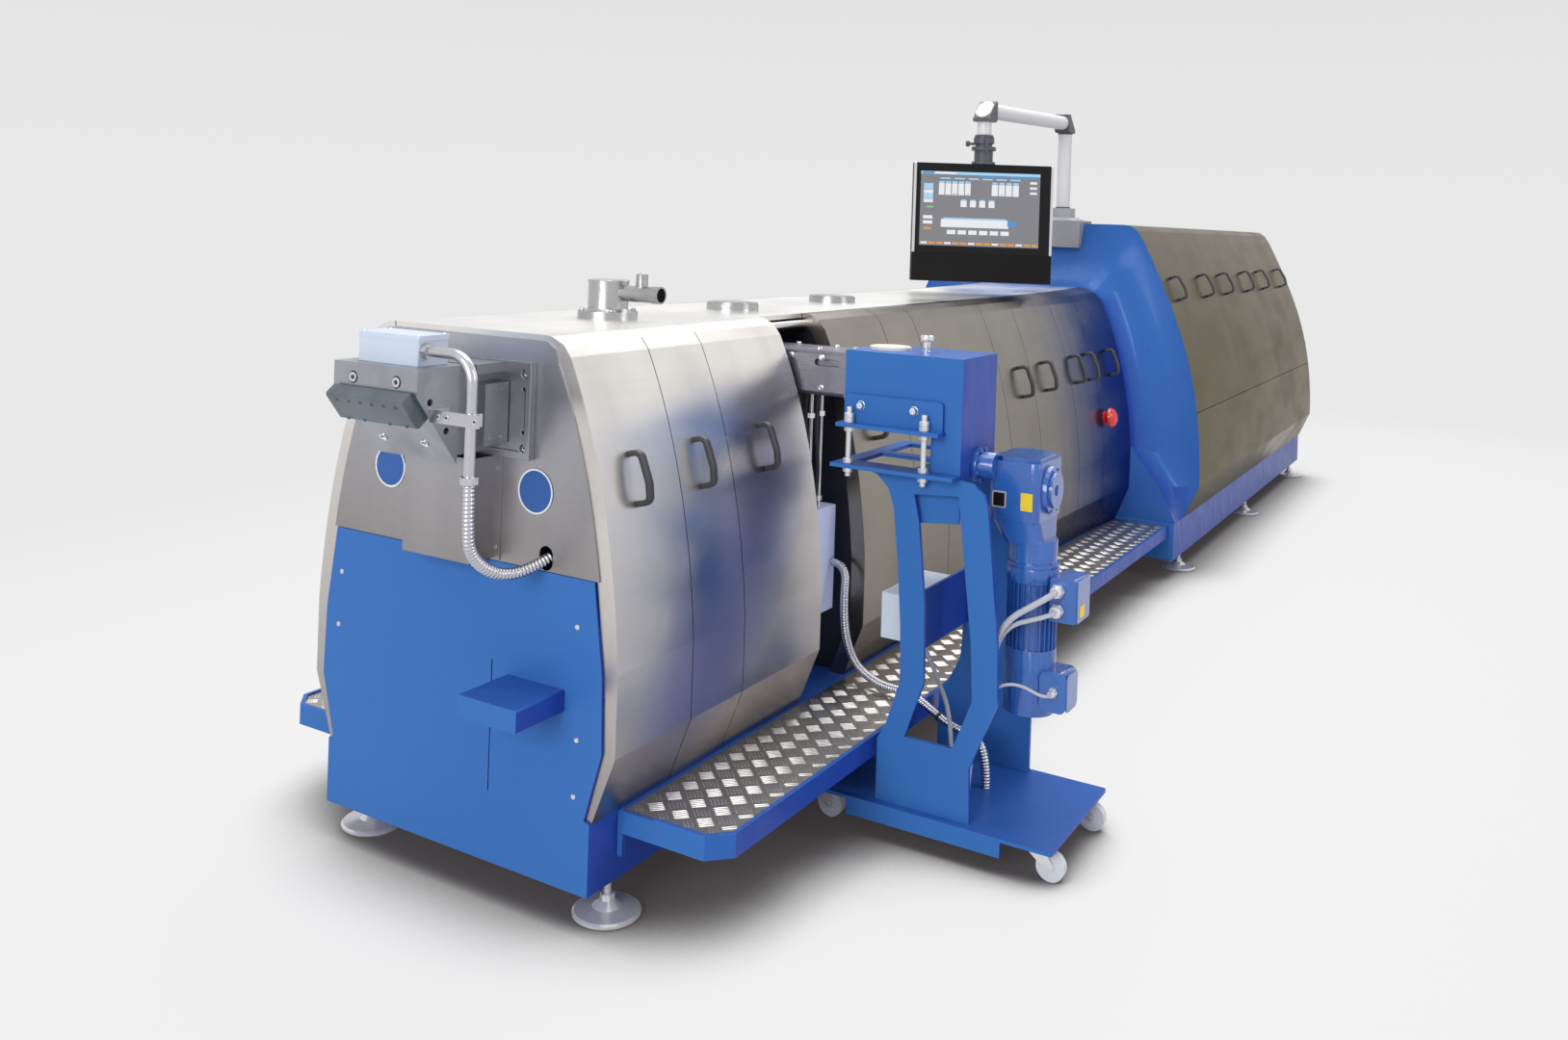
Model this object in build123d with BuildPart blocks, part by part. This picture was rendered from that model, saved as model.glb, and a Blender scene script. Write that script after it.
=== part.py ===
from build123d import *
import math
import os

os.makedirs("parts", exist_ok=True)

# All sizes are in mm. Machine coordinates run X along the extruder from its outlet wall,
# Y across it with the operator's side negative, and Z up from the floor.

# Lengths along the machine
frontEnd = 915          # end of the first run of covers
midStart = 1179         # start of the second run, after the side feed gap
midEnd = 3840           # where the flared covers meet the blue cover
rearStart = 4010        # start of the gearbox and motor housing
rearEnd = 7210
flareStart = 2950
seamGap = 3             # joint between two covers

# Floor, base and feet
baseBottom = 95
frontBaseHalf = 424
frontBaseTop = 255.8
rearBaseHalf = 736
rearBaseTop = 266.8
footRadius = 80
stemRadius = 9

# Cover sections, each a chain of Y and Z: flat top, shoulder, a curved flank and a low chamfer
frontChain = [(243, 1328), (266, 1326), (300, 1311), (323, 1283),
              (421, 1078), (472, 826), (485, 598), (485, 414), (425, 256)]
rearChain = [(400, 1650), (440, 1646), (474, 1622), (505, 1575),
             (722, 1146), (792, 900), (806, 500), (806, 420), (739, 267)]
frontWall = 45          # wall of the covers with their folded edges
rearWall = 36
flareSide = 38          # how far the covers flare sideways before the blue cover
flareTop = 12
roofThick = 14
endThick = 20

# Outlet end
wallFace = -4
panelTop = 793
dieFront = -275
dieHalf = 131
dieTop = 1261
dieLip = 1200
slant = math.radians(52)
slantDown = (math.cos(slant), -math.sin(slant))
slantOut = (-math.sin(slant), -math.cos(slant))
plateThick = 32
platePlan = [(0, -12), (plateThick - 4, -12), (plateThick, -6), (plateThick, 62), (plateThick - 6, 68), (0, 68)]
dieReach = min(dieFront + slantOut[0] * a + slantDown[0] * b for a, b in platePlan)

# Side feeder on its wheeled stand
wheelRadius = 36
wheelTread = 24
casterY = (-1158, -540)
casterX = (850, 1178)
casterTrail = 35
feederBaseLow = 86
feederBaseTop = 95
standFront = 814
standPlate = 12
standBack = 1208
gearboxX = (818, 1050)
gearboxY = (-930, -590)
motorAxis = (1000, -1068)
motorRadius = 66

# Operator panel on its arm
columnX = 4030
columnY = -90
armReach = 1065
armZ = 2117             # boom axis at the screen end, and how much it rises to the column
armRise = 33
tubeRadius = 33.5
panelYaw = math.radians(31)
screenWide = 600
screenLow = 1497
screenHigh = 1884
boxLow = 1377

# Row origin: middle of the bounding box in X and Y, floor in Z
nearReach = casterY[0] - casterTrail - wheelRadius
farReach = rearChain[6][0]
originX = (dieReach + rearEnd) / 2
originY = (nearReach + farReach) / 2


def acrossPlane(x, y=0, z=0):
    return Plane(origin=(x - originX, y - originY, z), x_dir=(0, 1, 0), z_dir=(1, 0, 0))


def alongPlane(y, x=0, z=0):
    return Plane(origin=(x - originX, y - originY, z), x_dir=(1, 0, 0), z_dir=(0, -1, 0))


def levelPlane(z, x=0, y=0):
    return Plane(origin=(x - originX, y - originY, z), x_dir=(1, 0, 0), z_dir=(0, 0, 1))


def panelPlane(offset, z=0):
    normal = (-math.cos(panelYaw), -math.sin(panelYaw))
    return Plane(origin=(columnX - armReach + normal[0] * offset - originX,
                         columnY + normal[1] * offset - originY, z),
                 x_dir=(math.sin(panelYaw), -math.cos(panelYaw), 0), z_dir=(normal[0], normal[1], 0))


def moved(chain, side, top=None):
    top = side if top is None else top
    out = []
    for i, (y, z) in enumerate(chain):
        a, b = chain[max(i - 1, 0)], chain[min(i + 1, len(chain) - 1)]
        dy, dz = b[0] - a[0], b[1] - a[1]
        size = math.hypot(dy, dz)
        out.append((y - dz / size * side, z + dy / size * top))
    return out


def inset(chain, wall):
    foot, above = chain[-1], chain[-2]
    spread = math.dist(foot, above) / (above[1] - foot[1])
    return moved(chain, -wall)[:-1] + [(foot[0] - wall * spread, foot[1])]


def flared(x):
    share = max(0.0, (x - flareStart) / (midEnd - flareStart)) ** 2
    chain = moved(frontChain, flareSide * share, flareTop * share)
    return chain[:-1] + [(chain[-1][0], frontChain[-1][1])]


def blended(first, last, share, lowShare):
    out = []
    for i, (a, b) in enumerate(zip(first, last)):
        t = share if i < 7 else (share + lowShare) / 2 if i == 7 else lowShare
        out.append((a[0] + (b[0] - a[0]) * t, a[1] + (b[1] - a[1]) * t))
    return out


def drawChain(chain, side):
    pts = [(side * y, z) for y, z in chain]
    Polyline(pts[0], pts[1], pts[2], pts[3])
    Bezier(pts[3], pts[4], pts[5], pts[6])
    Polyline(pts[6], pts[7], pts[8])
    return pts


def drawShell(chain, side, wall):
    outer = drawChain(chain, side)
    inner = drawChain(inset(chain, wall), side)
    Line(outer[0], inner[0])
    Line(outer[-1], inner[-1])


def drawWhole(chain):
    right = drawChain(chain, 1)
    left = drawChain(chain, -1)
    Line(right[0], left[0])
    Line(right[-1], left[-1])


def flankPoint(chain, z):
    """Y on the curved flank at a height."""
    a, b, c, d = chain[3], chain[4], chain[5], chain[6]
    low, high = 0.0, 1.0
    for _ in range(40):
        t = (low + high) / 2
        s = 1 - t
        zt = s ** 3 * a[1] + 3 * s * s * t * b[1] + 3 * s * t * t * c[1] + t ** 3 * d[1]
        low, high = (t, high) if zt > z else (low, t)
    return s ** 3 * a[0] + 3 * s * s * t * b[0] + 3 * s * t * t * c[0] + t ** 3 * d[0]


def drawRoute(route):
    """Straight runs with an arc at each corner, as large as the runs leave room for."""
    points = [Vector(x - originX, y - originY, z) for x, y, z in route]
    start = points[0]
    for i in range(1, len(points) - 1):
        before, after = points[i] - points[i - 1], points[i + 1] - points[i]
        half = math.radians(before.get_angle(after)) / 2
        room = min(before.length * (0.9 if i == 1 else 0.48),
                   after.length * (0.9 if i == len(points) - 2 else 0.48))
        inward = (after.normalized() - before.normalized()).normalized()
        radius = room / math.tan(half)
        first = points[i] - before.normalized() * room
        last = points[i] + after.normalized() * room
        middle = points[i] + inward * (radius / math.cos(half) - radius)
        Line(start, first)
        ThreePointArc(first, middle, last)
        start = last
    Line(start, points[-1])


def handlePlane(x, chain, zHigh, zLow, side):
    yHigh, yLow = flankPoint(chain, zHigh), flankPoint(chain, zLow)
    up = (yHigh - yLow, zHigh - zLow)
    size = math.hypot(*up)
    up = (up[0] / size, up[1] / size)
    return Plane(origin=(x - originX, side * (yHigh + yLow) / 2 - originY, (zHigh + zLow) / 2),
                 x_dir=(0, side * up[1], -up[0]), z_dir=(side, 0, 0))


handleHalf = 64
handleWide = 16
handleGap = 0.4
handleLine = [(handleGap, handleHalf), (30, handleHalf), (42, 50), (50, -18), (44, -54), (32, -handleHalf),
              (handleGap, -handleHalf), (handleGap, -51), (27, -51), (32, -45), (37, -16), (30, 43), (24, 51),
              (handleGap, 51)]

coverSeams = [0, 291, 518, frontEnd]
midSeams = [midStart, 1560, 1803, 2420, 2740, 3190, 3500, midEnd]
coverHandles = [117, 377, 678, 1324, 1680, 1960, 2624, 2904, 3264, 3433, 3686]
doorSeams = [rearStart, 5060, 6130, rearEnd - endThick]
doorHandles = [4225, 4815, 5300, 5880, 6350, 6940]
doorLow = 768

# Blue base under the covers and under the wider rear section
with BuildPart() as machine_base:
    with BuildSketch(acrossPlane(0)):
        with Locations((0, (baseBottom + frontBaseTop) / 2)):
            Rectangle(2 * frontBaseHalf, frontBaseTop - baseBottom)
    extrude(amount=midEnd + 1)
    with BuildSketch(acrossPlane(midEnd)):
        with Locations((0, (baseBottom + rearBaseTop) / 2)):
            Rectangle(2 * rearBaseHalf, rearBaseTop - baseBottom)
    extrude(amount=rearEnd - midEnd)
machine_base.part.label = "machine_base"
export_step(machine_base.part, "parts/machine_base.step")

# Blue panel on the outlet end, with its butt joint and screws' holes
panelThick = 6
panelSplit = -122
with BuildPart() as front_panel:
    with BuildSketch(acrossPlane(-panelThick - 0.5)):
        with BuildLine():
            Polyline((-424, baseBottom), (-424, 257), (-408, 262), (-452, 419), (-446, 591), (-417, panelTop),
                     (417, panelTop), (446, 591), (452, 419), (408, 262), (424, 257), (424, baseBottom),
                     (-424, baseBottom))
        make_face()
        with Locations((panelSplit, 412)):
            Rectangle(3, 306, mode=Mode.SUBTRACT)
        with Locations((395, 683), (401, 549), (-373, 686), (-381, 436), (-377, 309)):
            Circle(4, mode=Mode.SUBTRACT)
    extrude(amount=panelThick)
front_panel.part.label = "front_panel"
export_step(front_panel.part, "parts/front_panel.step")

# Square tube stub that stands out of the blue panel
stubReach = 165
with BuildPart() as coupling_stub:
    with BuildSketch(acrossPlane(-panelThick - 0.5)):
        with Locations((-256, 515)):
            RectangleRounded(174, 50, 5)
    extrude(amount=panelThick + 0.5 - stubReach)
coupling_stub.part.label = "coupling_stub"
export_step(coupling_stub.part, "parts/coupling_stub.step")

# Steel wall of the outlet end: a face plate in front of the covers and a backing between them
slotCentre = (-273, 823)
wallBack = 24
wallTop = frontChain[0][1] - roofThick - 0.5
frontInner = inset(frontChain, frontWall + 0.6)
with BuildPart() as front_wall:
    for x, deep, cut in ((wallFace, -wallFace - 0.3, frontWall - 9), (-0.4, wallBack + 0.4, frontWall + 0.5)):
        with BuildSketch(acrossPlane(x)):
            with BuildLine():
                edge = moved(frontChain, -cut)
                for side in (-1, 1):
                    Polyline((side * edge[1][0], edge[1][1]), (side * edge[2][0], edge[2][1]),
                             (side * edge[3][0], edge[3][1]))
                    Bezier(*[(side * y, z) for y, z in edge[3:7]])
                Line((edge[1][0], edge[1][1]), (-edge[1][0], edge[1][1]))
                Line((edge[6][0], edge[6][1]), (-edge[6][0], edge[6][1]))
            make_face()
            if x == wallFace:
                shoulder = [(frontChain[1][0] - 8, wallTop), (frontChain[2][0] - 17, wallTop - 16),
                            (edge[3][0], edge[3][1])]
                with BuildLine():
                    Polyline(*shoulder, *[(-y, z) for y, z in reversed(shoulder)], close=True)
                make_face()
            else:
                with Locations((0, wallTop - 30)):
                    Rectangle(2 * frontInner[0][0] - 1, 60)
            with Locations((0, panelTop - 199)):
                Rectangle(1000, 400, mode=Mode.SUBTRACT)
            with Locations((0, wallTop + 100)):
                Rectangle(1000, 200, mode=Mode.SUBTRACT)
            with Locations(slotCentre):
                SlotOverall(56, 40, rotation=90, mode=Mode.SUBTRACT)
        extrude(amount=deep)
front_wall.part.label = "front_wall"
export_step(front_wall.part, "parts/front_wall.step")

# Dark inner bodies behind the covers: front, middle and the rear section's gearbox and motor space
with BuildPart() as inner_body:
    for x, stop in ((wallBack + 0.3, frontEnd - 40), (midStart + 25, midEnd - 0.3)):
        with BuildSketch(acrossPlane(x)):
            with BuildLine():
                drawWhole(frontInner)
            make_face()
            with Locations((0, frontBaseTop / 2)):
                Rectangle(1000, frontBaseTop + 0.6, mode=Mode.SUBTRACT)
            with Locations((0, wallTop + 100)):
                Rectangle(1000, 200, mode=Mode.SUBTRACT)
        extrude(amount=stop - x)
    with BuildSketch(acrossPlane(wallBack)):
        with Locations(slotCentre):
            SlotOverall(56, 40, rotation=90)
    extrude(amount=60, mode=Mode.SUBTRACT)
    with BuildSketch(acrossPlane(rearStart + 0.3)):
        with BuildLine():
            drawWhole(inset(rearChain, rearWall + 0.6))
        make_face()
        with Locations((0, rearBaseTop / 2)):
            Rectangle(2000, rearBaseTop + 0.6, mode=Mode.SUBTRACT)
    extrude(amount=rearEnd - endThick - rearStart - 0.6)
inner_body.part.label = "inner_body"
export_step(inner_body.part, "parts/inner_body.step")

# Folded steel covers of the first run, three a side
with BuildPart() as front_covers:
    for side in (-1, 1):
        for x0, x1 in zip(coverSeams, coverSeams[1:]):
            with BuildSketch(acrossPlane(x0)):
                with BuildLine():
                    drawShell(frontChain, side, frontWall)
                make_face()
            extrude(amount=x1 - x0 - (seamGap if x1 < frontEnd else 0))
front_covers.part.label = "front_covers"
export_step(front_covers.part, "parts/front_covers.step")

# Flat top plate that runs over the whole front and the side feed gap
roofSides = frontChain[0][0] - 2
with BuildPart() as top_plate:
    with BuildSketch(acrossPlane(3)):
        with Locations((0, frontChain[0][1] - roofThick / 2)):
            Rectangle(2 * roofSides, roofThick)
    extrude(amount=flareStart - 3)
    roofSteps = [flareStart + (midEnd - flareStart) * i / 5 for i in range(6)]
    for x in roofSteps:
        lift = flared(x)[0][1]
        with BuildSketch(acrossPlane(x)):
            with Locations((0, lift - roofThick / 2)):
                Rectangle(2 * roofSides, roofThick)
    loft(ruled=True)
top_plate.part.label = "top_plate"
export_step(top_plate.part, "parts/top_plate.step")

# Steel covers of the second run; the last ones flare out towards the blue cover
with BuildPart() as mid_covers:
    for side in (-1, 1):
        for x0, x1 in zip(midSeams, midSeams[1:]):
            stop = x1 - (seamGap if x1 < midEnd else 0)
            if x1 <= flareStart:
                with BuildSketch(acrossPlane(x0)):
                    with BuildLine():
                        drawShell(frontChain, side, frontWall)
                    make_face()
                extrude(amount=stop - x0)
            else:
                knots = [x0] + [x0 + (stop - x0) * i / 3 for i in (1, 2)] + [stop]
                for x in knots:
                    with BuildSketch(acrossPlane(x)):
                        with BuildLine():
                            drawShell(flared(x), side, frontWall)
                        make_face()
                loft(ruled=True)
mid_covers.part.label = "mid_covers"
export_step(mid_covers.part, "parts/mid_covers.step")

# Blue moulded cover: a cove that swells from the flared covers to the tall rear section
coveSteps = [0.0, 0.03, 0.3, 0.52, 0.7, 0.83, 0.92, 0.975, 1.0]
with BuildPart() as blue_cover:
    firstChain = flared(midEnd)
    for i, u in enumerate(coveSteps):
        share = 1 - math.sqrt(1 - u * u)
        with BuildSketch(acrossPlane(midEnd + (rearStart - midEnd) * u)):
            with BuildLine():
                drawWhole(blended(firstChain, rearChain, share, 0.0 if i == 0 else 1.0))
            make_face()
    loft(ruled=True)
    with BuildSketch(acrossPlane(midEnd - 1)):
        with Locations((0, rearBaseTop / 2)):
            Rectangle(2000, rearBaseTop)
    extrude(amount=rearStart, mode=Mode.SUBTRACT)
blue_cover.part.label = "blue_cover"
export_step(blue_cover.part, "parts/blue_cover.step")

# Steel doors of the rear section, three a side, above one long lower panel a side
roofHalf = rearChain[1][0]
with BuildPart() as rear_covers:
    for side in (-1, 1):
        for x0, x1 in zip(doorSeams, doorSeams[1:]):
            with BuildSketch(acrossPlane(x0 + 1)):
                with BuildLine():
                    drawShell(rearChain, side, rearWall)
                make_face()
                with Locations((side * (roofHalf + 1 + 250), doorLow + seamGap / 2 + 500)):
                    Rectangle(500, 1000, mode=Mode.INTERSECT)
            extrude(amount=x1 - x0 - seamGap)
        with BuildSketch(acrossPlane(rearStart + 1)):
            with BuildLine():
                drawShell(rearChain, side, rearWall)
            make_face()
            with Locations((side * 600, doorLow - seamGap / 2 - 500)):
                Rectangle(600, 1000, mode=Mode.INTERSECT)
        extrude(amount=doorSeams[-1] - rearStart - 3)
rear_covers.part.label = "rear_covers"
export_step(rear_covers.part, "parts/rear_covers.step")

# Roof of the rear section
roofEdge = (roofHalf - 1, rearChain[1][1])
with BuildPart() as rear_roof:
    with BuildSketch(acrossPlane(rearStart + 1)):
        with BuildLine():
            Polyline((-roofEdge[0], rearChain[0][1] - rearWall), (-roofEdge[0], roofEdge[1]),
                     (-rearChain[0][0], rearChain[0][1]), (rearChain[0][0], rearChain[0][1]),
                     (roofEdge[0], roofEdge[1]), (roofEdge[0], rearChain[0][1] - rearWall), close=True)
        make_face()
    extrude(amount=doorSeams[-1] - rearStart - 3)
rear_roof.part.label = "rear_roof"
export_step(rear_roof.part, "parts/rear_roof.step")

# End wall behind the rear section
with BuildPart() as rear_wall:
    with BuildSketch(acrossPlane(doorSeams[-1])):
        with BuildLine():
            drawWhole(rearChain)
        make_face()
        with Locations((0, rearBaseTop / 2)):
            Rectangle(2000, rearBaseTop, mode=Mode.SUBTRACT)
    extrude(amount=endThick)
rear_wall.part.label = "rear_wall"
export_step(rear_wall.part, "parts/rear_wall.step")

# Bow handles of the covers and of the rear doors, both sides
coverHandleZ = (1062, 947)
doorHandleZ = (1396, 1291)
with BuildPart() as bow_handles:
    for side in (-1, 1):
        seats = [handlePlane(x, flared(x + handleWide / 2), *coverHandleZ, side) for x in coverHandles]
        seats += [handlePlane(x, rearChain, *doorHandleZ, side) for x in doorHandles]
        for seat in seats:
            with BuildSketch(seat):
                with BuildLine():
                    Polyline(*handleLine, close=True)
                make_face()
            extrude(amount=handleWide / 2, both=True)
bow_handles.part.label = "bow_handles"
export_step(bow_handles.part, "parts/bow_handles.step")

# Checker plate treads of the two steps
stepInner = frontBaseHalf + 0.3
stepOuter = 712
stepFront = 96
stepEnd = midEnd - 0.3
stepTop = 258
stepLow = 203
stepWall = 12
stepCut = (52, 50)      # corner cut of the front end, along and across
treadTop = 254
treadThick = 8
with BuildPart() as step_treads:
    for side in (-1, 1):
        with BuildSketch(levelPlane(treadTop - treadThick)):
            with BuildLine():
                Polyline((stepFront + stepWall + 1, side * (stepInner + stepWall + 1)),
                         (stepFront + stepWall + 1, side * (stepOuter - stepCut[1] - 6)),
                         (stepFront + stepCut[0] + 6, side * (stepOuter - stepWall - 1)),
                         (stepEnd - stepWall - 1, side * (stepOuter - stepWall - 1)),
                         (stepEnd - stepWall - 1, side * (stepInner + stepWall + 1)), close=True)
            make_face()
        extrude(amount=treadThick)
step_treads.part.label = "step_treads"
export_step(step_treads.part, "parts/step_treads.step")

# Blue frames of the steps: rails, end plate with its cut corner, cross bars and hangers
with BuildPart() as step_frames:
    for side in (-1, 1):
        outline = [(stepFront, side * stepInner), (stepFront, side * (stepOuter - stepCut[1])),
                   (stepFront + stepCut[0], side * stepOuter), (stepEnd, side * stepOuter),
                   (stepEnd, side * stepInner)]
        inset = [(stepFront + stepWall, side * (stepInner + stepWall)),
                 (stepFront + stepWall, side * (stepOuter - stepCut[1] - 5)),
                 (stepFront + stepCut[0] + 5, side * (stepOuter - stepWall)),
                 (stepEnd - stepWall, side * (stepOuter - stepWall)),
                 (stepEnd - stepWall, side * (stepInner + stepWall))]
        with BuildSketch(levelPlane(stepLow)):
            with BuildLine():
                Polyline(*outline, close=True)
            make_face()
            with BuildLine():
                Polyline(*inset, close=True)
            make_face(mode=Mode.SUBTRACT)
        extrude(amount=stepTop - stepLow)
        with BuildSketch(levelPlane(treadTop)):
            with Locations(((stepFront + stepEnd) / 2, side * (stepInner + 50))):
                Rectangle(stepEnd - stepFront + 2, 102)
        extrude(amount=stepTop, mode=Mode.SUBTRACT)
        with BuildSketch(levelPlane(stepLow)):
            for x in (700, 1350, 2000, 2650, 3300):
                with Locations((x, side * (stepInner + stepOuter) / 2)):
                    Rectangle(40, stepOuter - stepInner - 2 * stepWall + 2)
        extrude(amount=treadTop - treadThick - 0.3 - stepLow)
        with BuildSketch(levelPlane(150)):
            for x in (stepFront + 8, 700, 1350, 2000, 2650, 3300):
                with Locations((x, side * (stepInner + 7))):
                    Rectangle(14, 14)
        extrude(amount=stepLow - 150)
step_frames.part.label = "step_frames"
export_step(step_frames.part, "parts/step_frames.step")

# Levelling feet: dished disc, threaded stem and lock nuts
feetAt = [(115, 387), (4115, 695), (5640, 700), (7100, 700)]
with BuildPart() as levelling_feet:
    for x, y in feetAt:
        for side in (-1, 1):
            with BuildSketch(alongPlane(side * y, x)) as footLine:
                with BuildLine():
                    Polyline((0, 0), (footRadius - 4, 0), (footRadius, 4), (footRadius, 9), (footRadius - 5, 13),
                             (34, 19), (22, 30), (18, 34), (stemRadius, 34), (stemRadius, baseBottom), (0, baseBottom),
                             close=True)
                make_face()
            revolve(axis=Axis((x - originX, side * y - originY, 0), (0, 0, 1)))
            with BuildSketch(levelPlane(34, x, side * y), levelPlane(baseBottom - 14, x, side * y)):
                RegularPolygon(17, 6)
            extrude(amount=14)
levelling_feet.part.label = "levelling_feet"
export_step(levelling_feet.part, "parts/levelling_feet.step")

# Vent on the roof: flange, pot, open outlet towards the operator and a short upright stub
ventAt = (527, -5)
roofTop = frontChain[0][1]
ventPot = 55
spigotRadius = 22
spigotReach = 178
spigotRing = 23.5
stubAt = ventAt[1] - 113
spigotZ = roofTop + 70
with BuildPart() as vent_stack:
    with BuildSketch(levelPlane(roofTop, *ventAt)):
        Circle(82)
    extrude(amount=20)
    with BuildSketch(levelPlane(roofTop + 20, *ventAt)):
        Circle(ventPot)
    extrude(amount=82)
    with BuildSketch(alongPlane(ventAt[1] - ventPot / 2, ventAt[0], spigotZ)):
        Circle(spigotRadius)
    extrude(amount=spigotReach - ventPot / 2)
    with BuildSketch(alongPlane(ventAt[1] - spigotReach + 26, ventAt[0], spigotZ)):
        Circle(spigotRing)
    extrude(amount=26)
    with BuildSketch(alongPlane(ventAt[1] - spigotReach + 58, ventAt[0], spigotZ)):
        Circle(spigotRadius - 3)
    extrude(amount=60, mode=Mode.SUBTRACT)
    with BuildSketch(levelPlane(spigotZ + spigotRadius - 6, ventAt[0], stubAt)):
        Circle(16)
    extrude(amount=38)
    with BuildSketch(levelPlane(spigotZ + spigotRadius + 4, ventAt[0], stubAt)):
        Circle(12)
    extrude(amount=34, mode=Mode.SUBTRACT)
vent_stack.part.label = "vent_stack"
export_step(vent_stack.part, "parts/vent_stack.step")

# Two blanked flanges on the roof
blankAt = [(1150, -5), (1800, -5)]
with BuildPart() as blank_flanges:
    for x, y in blankAt:
        with BuildSketch(levelPlane(roofTop, x, y)):
            Circle(82)
        extrude(amount=18)
        with BuildSketch(levelPlane(roofTop + 18, x, y)):
            Circle(78)
        extrude(amount=4)
blank_flanges.part.label = "blank_flanges"
export_step(blank_flanges.part, "parts/blank_flanges.step")

# Heavy flange strip on the outlet wall, with large and small holes down both sides
flangeHalf = 228
flangeLow, flangeHigh = 1041, 1265
flangeThick = 20
with BuildPart() as outlet_flange:
    with BuildSketch(acrossPlane(wallFace)):
        with Locations((0, (flangeLow + flangeHigh) / 2)):
            Rectangle(2 * flangeHalf, flangeHigh - flangeLow)
        with Locations(*[(s * (flangeHalf - 20), z) for s in (-1, 1) for z in (flangeLow + 26, flangeHigh - 27)]):
            Circle(9, mode=Mode.SUBTRACT)
        with Locations(*[(s * (flangeHalf - 20), z) for s in (-1, 1) for z in (flangeLow + 62, flangeHigh - 63)]):
            Circle(4.5, mode=Mode.SUBTRACT)
    extrude(amount=-flangeThick)
outlet_flange.part.label = "outlet_flange"
export_step(outlet_flange.part, "parts/outlet_flange.step")

# Adapter between flange and die, with its heater plates on both flanks
adapterBack = wallFace - flangeThick
adapterFront = -150
heaterFront = -102
with BuildPart() as die_adapter:
    with BuildSketch(acrossPlane(adapterBack)):
        with Locations((0, 1156)):
            Rectangle(2 * 118, 196)
        with Locations((0, dieTop - 11)):
            Rectangle(300, 22)
    extrude(amount=adapterFront + 34 - adapterBack)
    with BuildSketch(acrossPlane(adapterFront + 34)):
        with Locations((0, 1158)):
            Rectangle(2 * 118, 202)
    extrude(amount=-33.5)
    for side in (-1, 1):
        with BuildSketch(alongPlane(side * 118)):
            with Locations(((heaterFront + adapterBack - 2) / 2, 1147)):
                Rectangle(adapterBack - 2 - heaterFront, 140)
            with Locations(*[(x, z) for x in (heaterFront + 20, heaterFront + 54) for z in (1093, 1201)]):
                Circle(4, mode=Mode.SUBTRACT)
        extrude(amount=-side * 47)
die_adapter.part.label = "die_adapter"
export_step(die_adapter.part, "parts/die_adapter.step")

# Die block with a slanted lower face
with BuildPart() as die_block:
    with BuildSketch(alongPlane(0)):
        with BuildLine():
            Polyline((adapterFront, dieTop), (dieFront, dieTop), (dieFront, dieLip),
                     (adapterFront, dieLip - (adapterFront - dieFront) * math.tan(slant)), close=True)
        make_face()
    extrude(amount=dieHalf, both=True)
    with BuildSketch(acrossPlane(dieFront)):
        with Locations((-68, 1228), (68, 1228)):
            Circle(14)
    extrude(amount=12, mode=Mode.SUBTRACT)
    with BuildSketch(acrossPlane(dieFront + 2)):
        with Locations((-68, 1228), (68, 1228)):
            Circle(11.5)
    extrude(amount=12)
    for side in (-1, 1):
        with BuildSketch(alongPlane(side * dieHalf)):
            with Locations((-236, 1186), (-185, 1118)):
                Circle(8)
        extrude(amount=side * 30, mode=Mode.SUBTRACT)
die_block.part.label = "die_block"
export_step(die_block.part, "parts/die_block.step")

# Dark die plate on the slanted face, with a row of outlet holes
plateHalf = 120
with BuildPart() as die_plate:
    with BuildSketch(alongPlane(0, dieFront, dieLip)):
        with BuildLine():
            Polyline(*[(slantOut[0] * (a + 0.2) + slantDown[0] * b, slantOut[1] * (a + 0.2) + slantDown[1] * b)
                       for a, b in platePlan], close=True)
        make_face()
    extrude(amount=plateHalf, both=True)
    holeFace = Plane(origin=(dieFront + slantOut[0] * plateThick + slantDown[0] * 44 - originX, -originY,
                             dieLip + slantOut[1] * plateThick + slantDown[1] * 44),
                     x_dir=(0, 1, 0), z_dir=(slantOut[0], 0, slantOut[1]))
    with BuildSketch(holeFace):
        with GridLocations(34, 50, 7, 1):
            Circle(5)
    extrude(amount=-14, mode=Mode.SUBTRACT)
die_plate.part.label = "die_plate"
export_step(die_plate.part, "parts/die_plate.step")

# Light grey terminal box of the die heaters
heaterBoxX = (-240, -150)
heaterBoxHalf = 95
heaterBoxHigh = 67
with BuildPart() as heater_box:
    with BuildSketch(levelPlane(dieTop + 0.2, sum(heaterBoxX) / 2, 0)):
        RectangleRounded(heaterBoxX[1] - heaterBoxX[0], 2 * heaterBoxHalf, 4)
    extrude(amount=heaterBoxHigh - 12)
    with BuildSketch(levelPlane(dieTop + heaterBoxHigh - 12 + 0.2, sum(heaterBoxX) / 2, 0)):
        RectangleRounded(heaterBoxX[1] - heaterBoxX[0] + 4, 2 * heaterBoxHalf + 4, 5)
    extrude(amount=12)
heater_box.part.label = "heater_box"
export_step(heater_box.part, "parts/heater_box.step")

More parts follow.
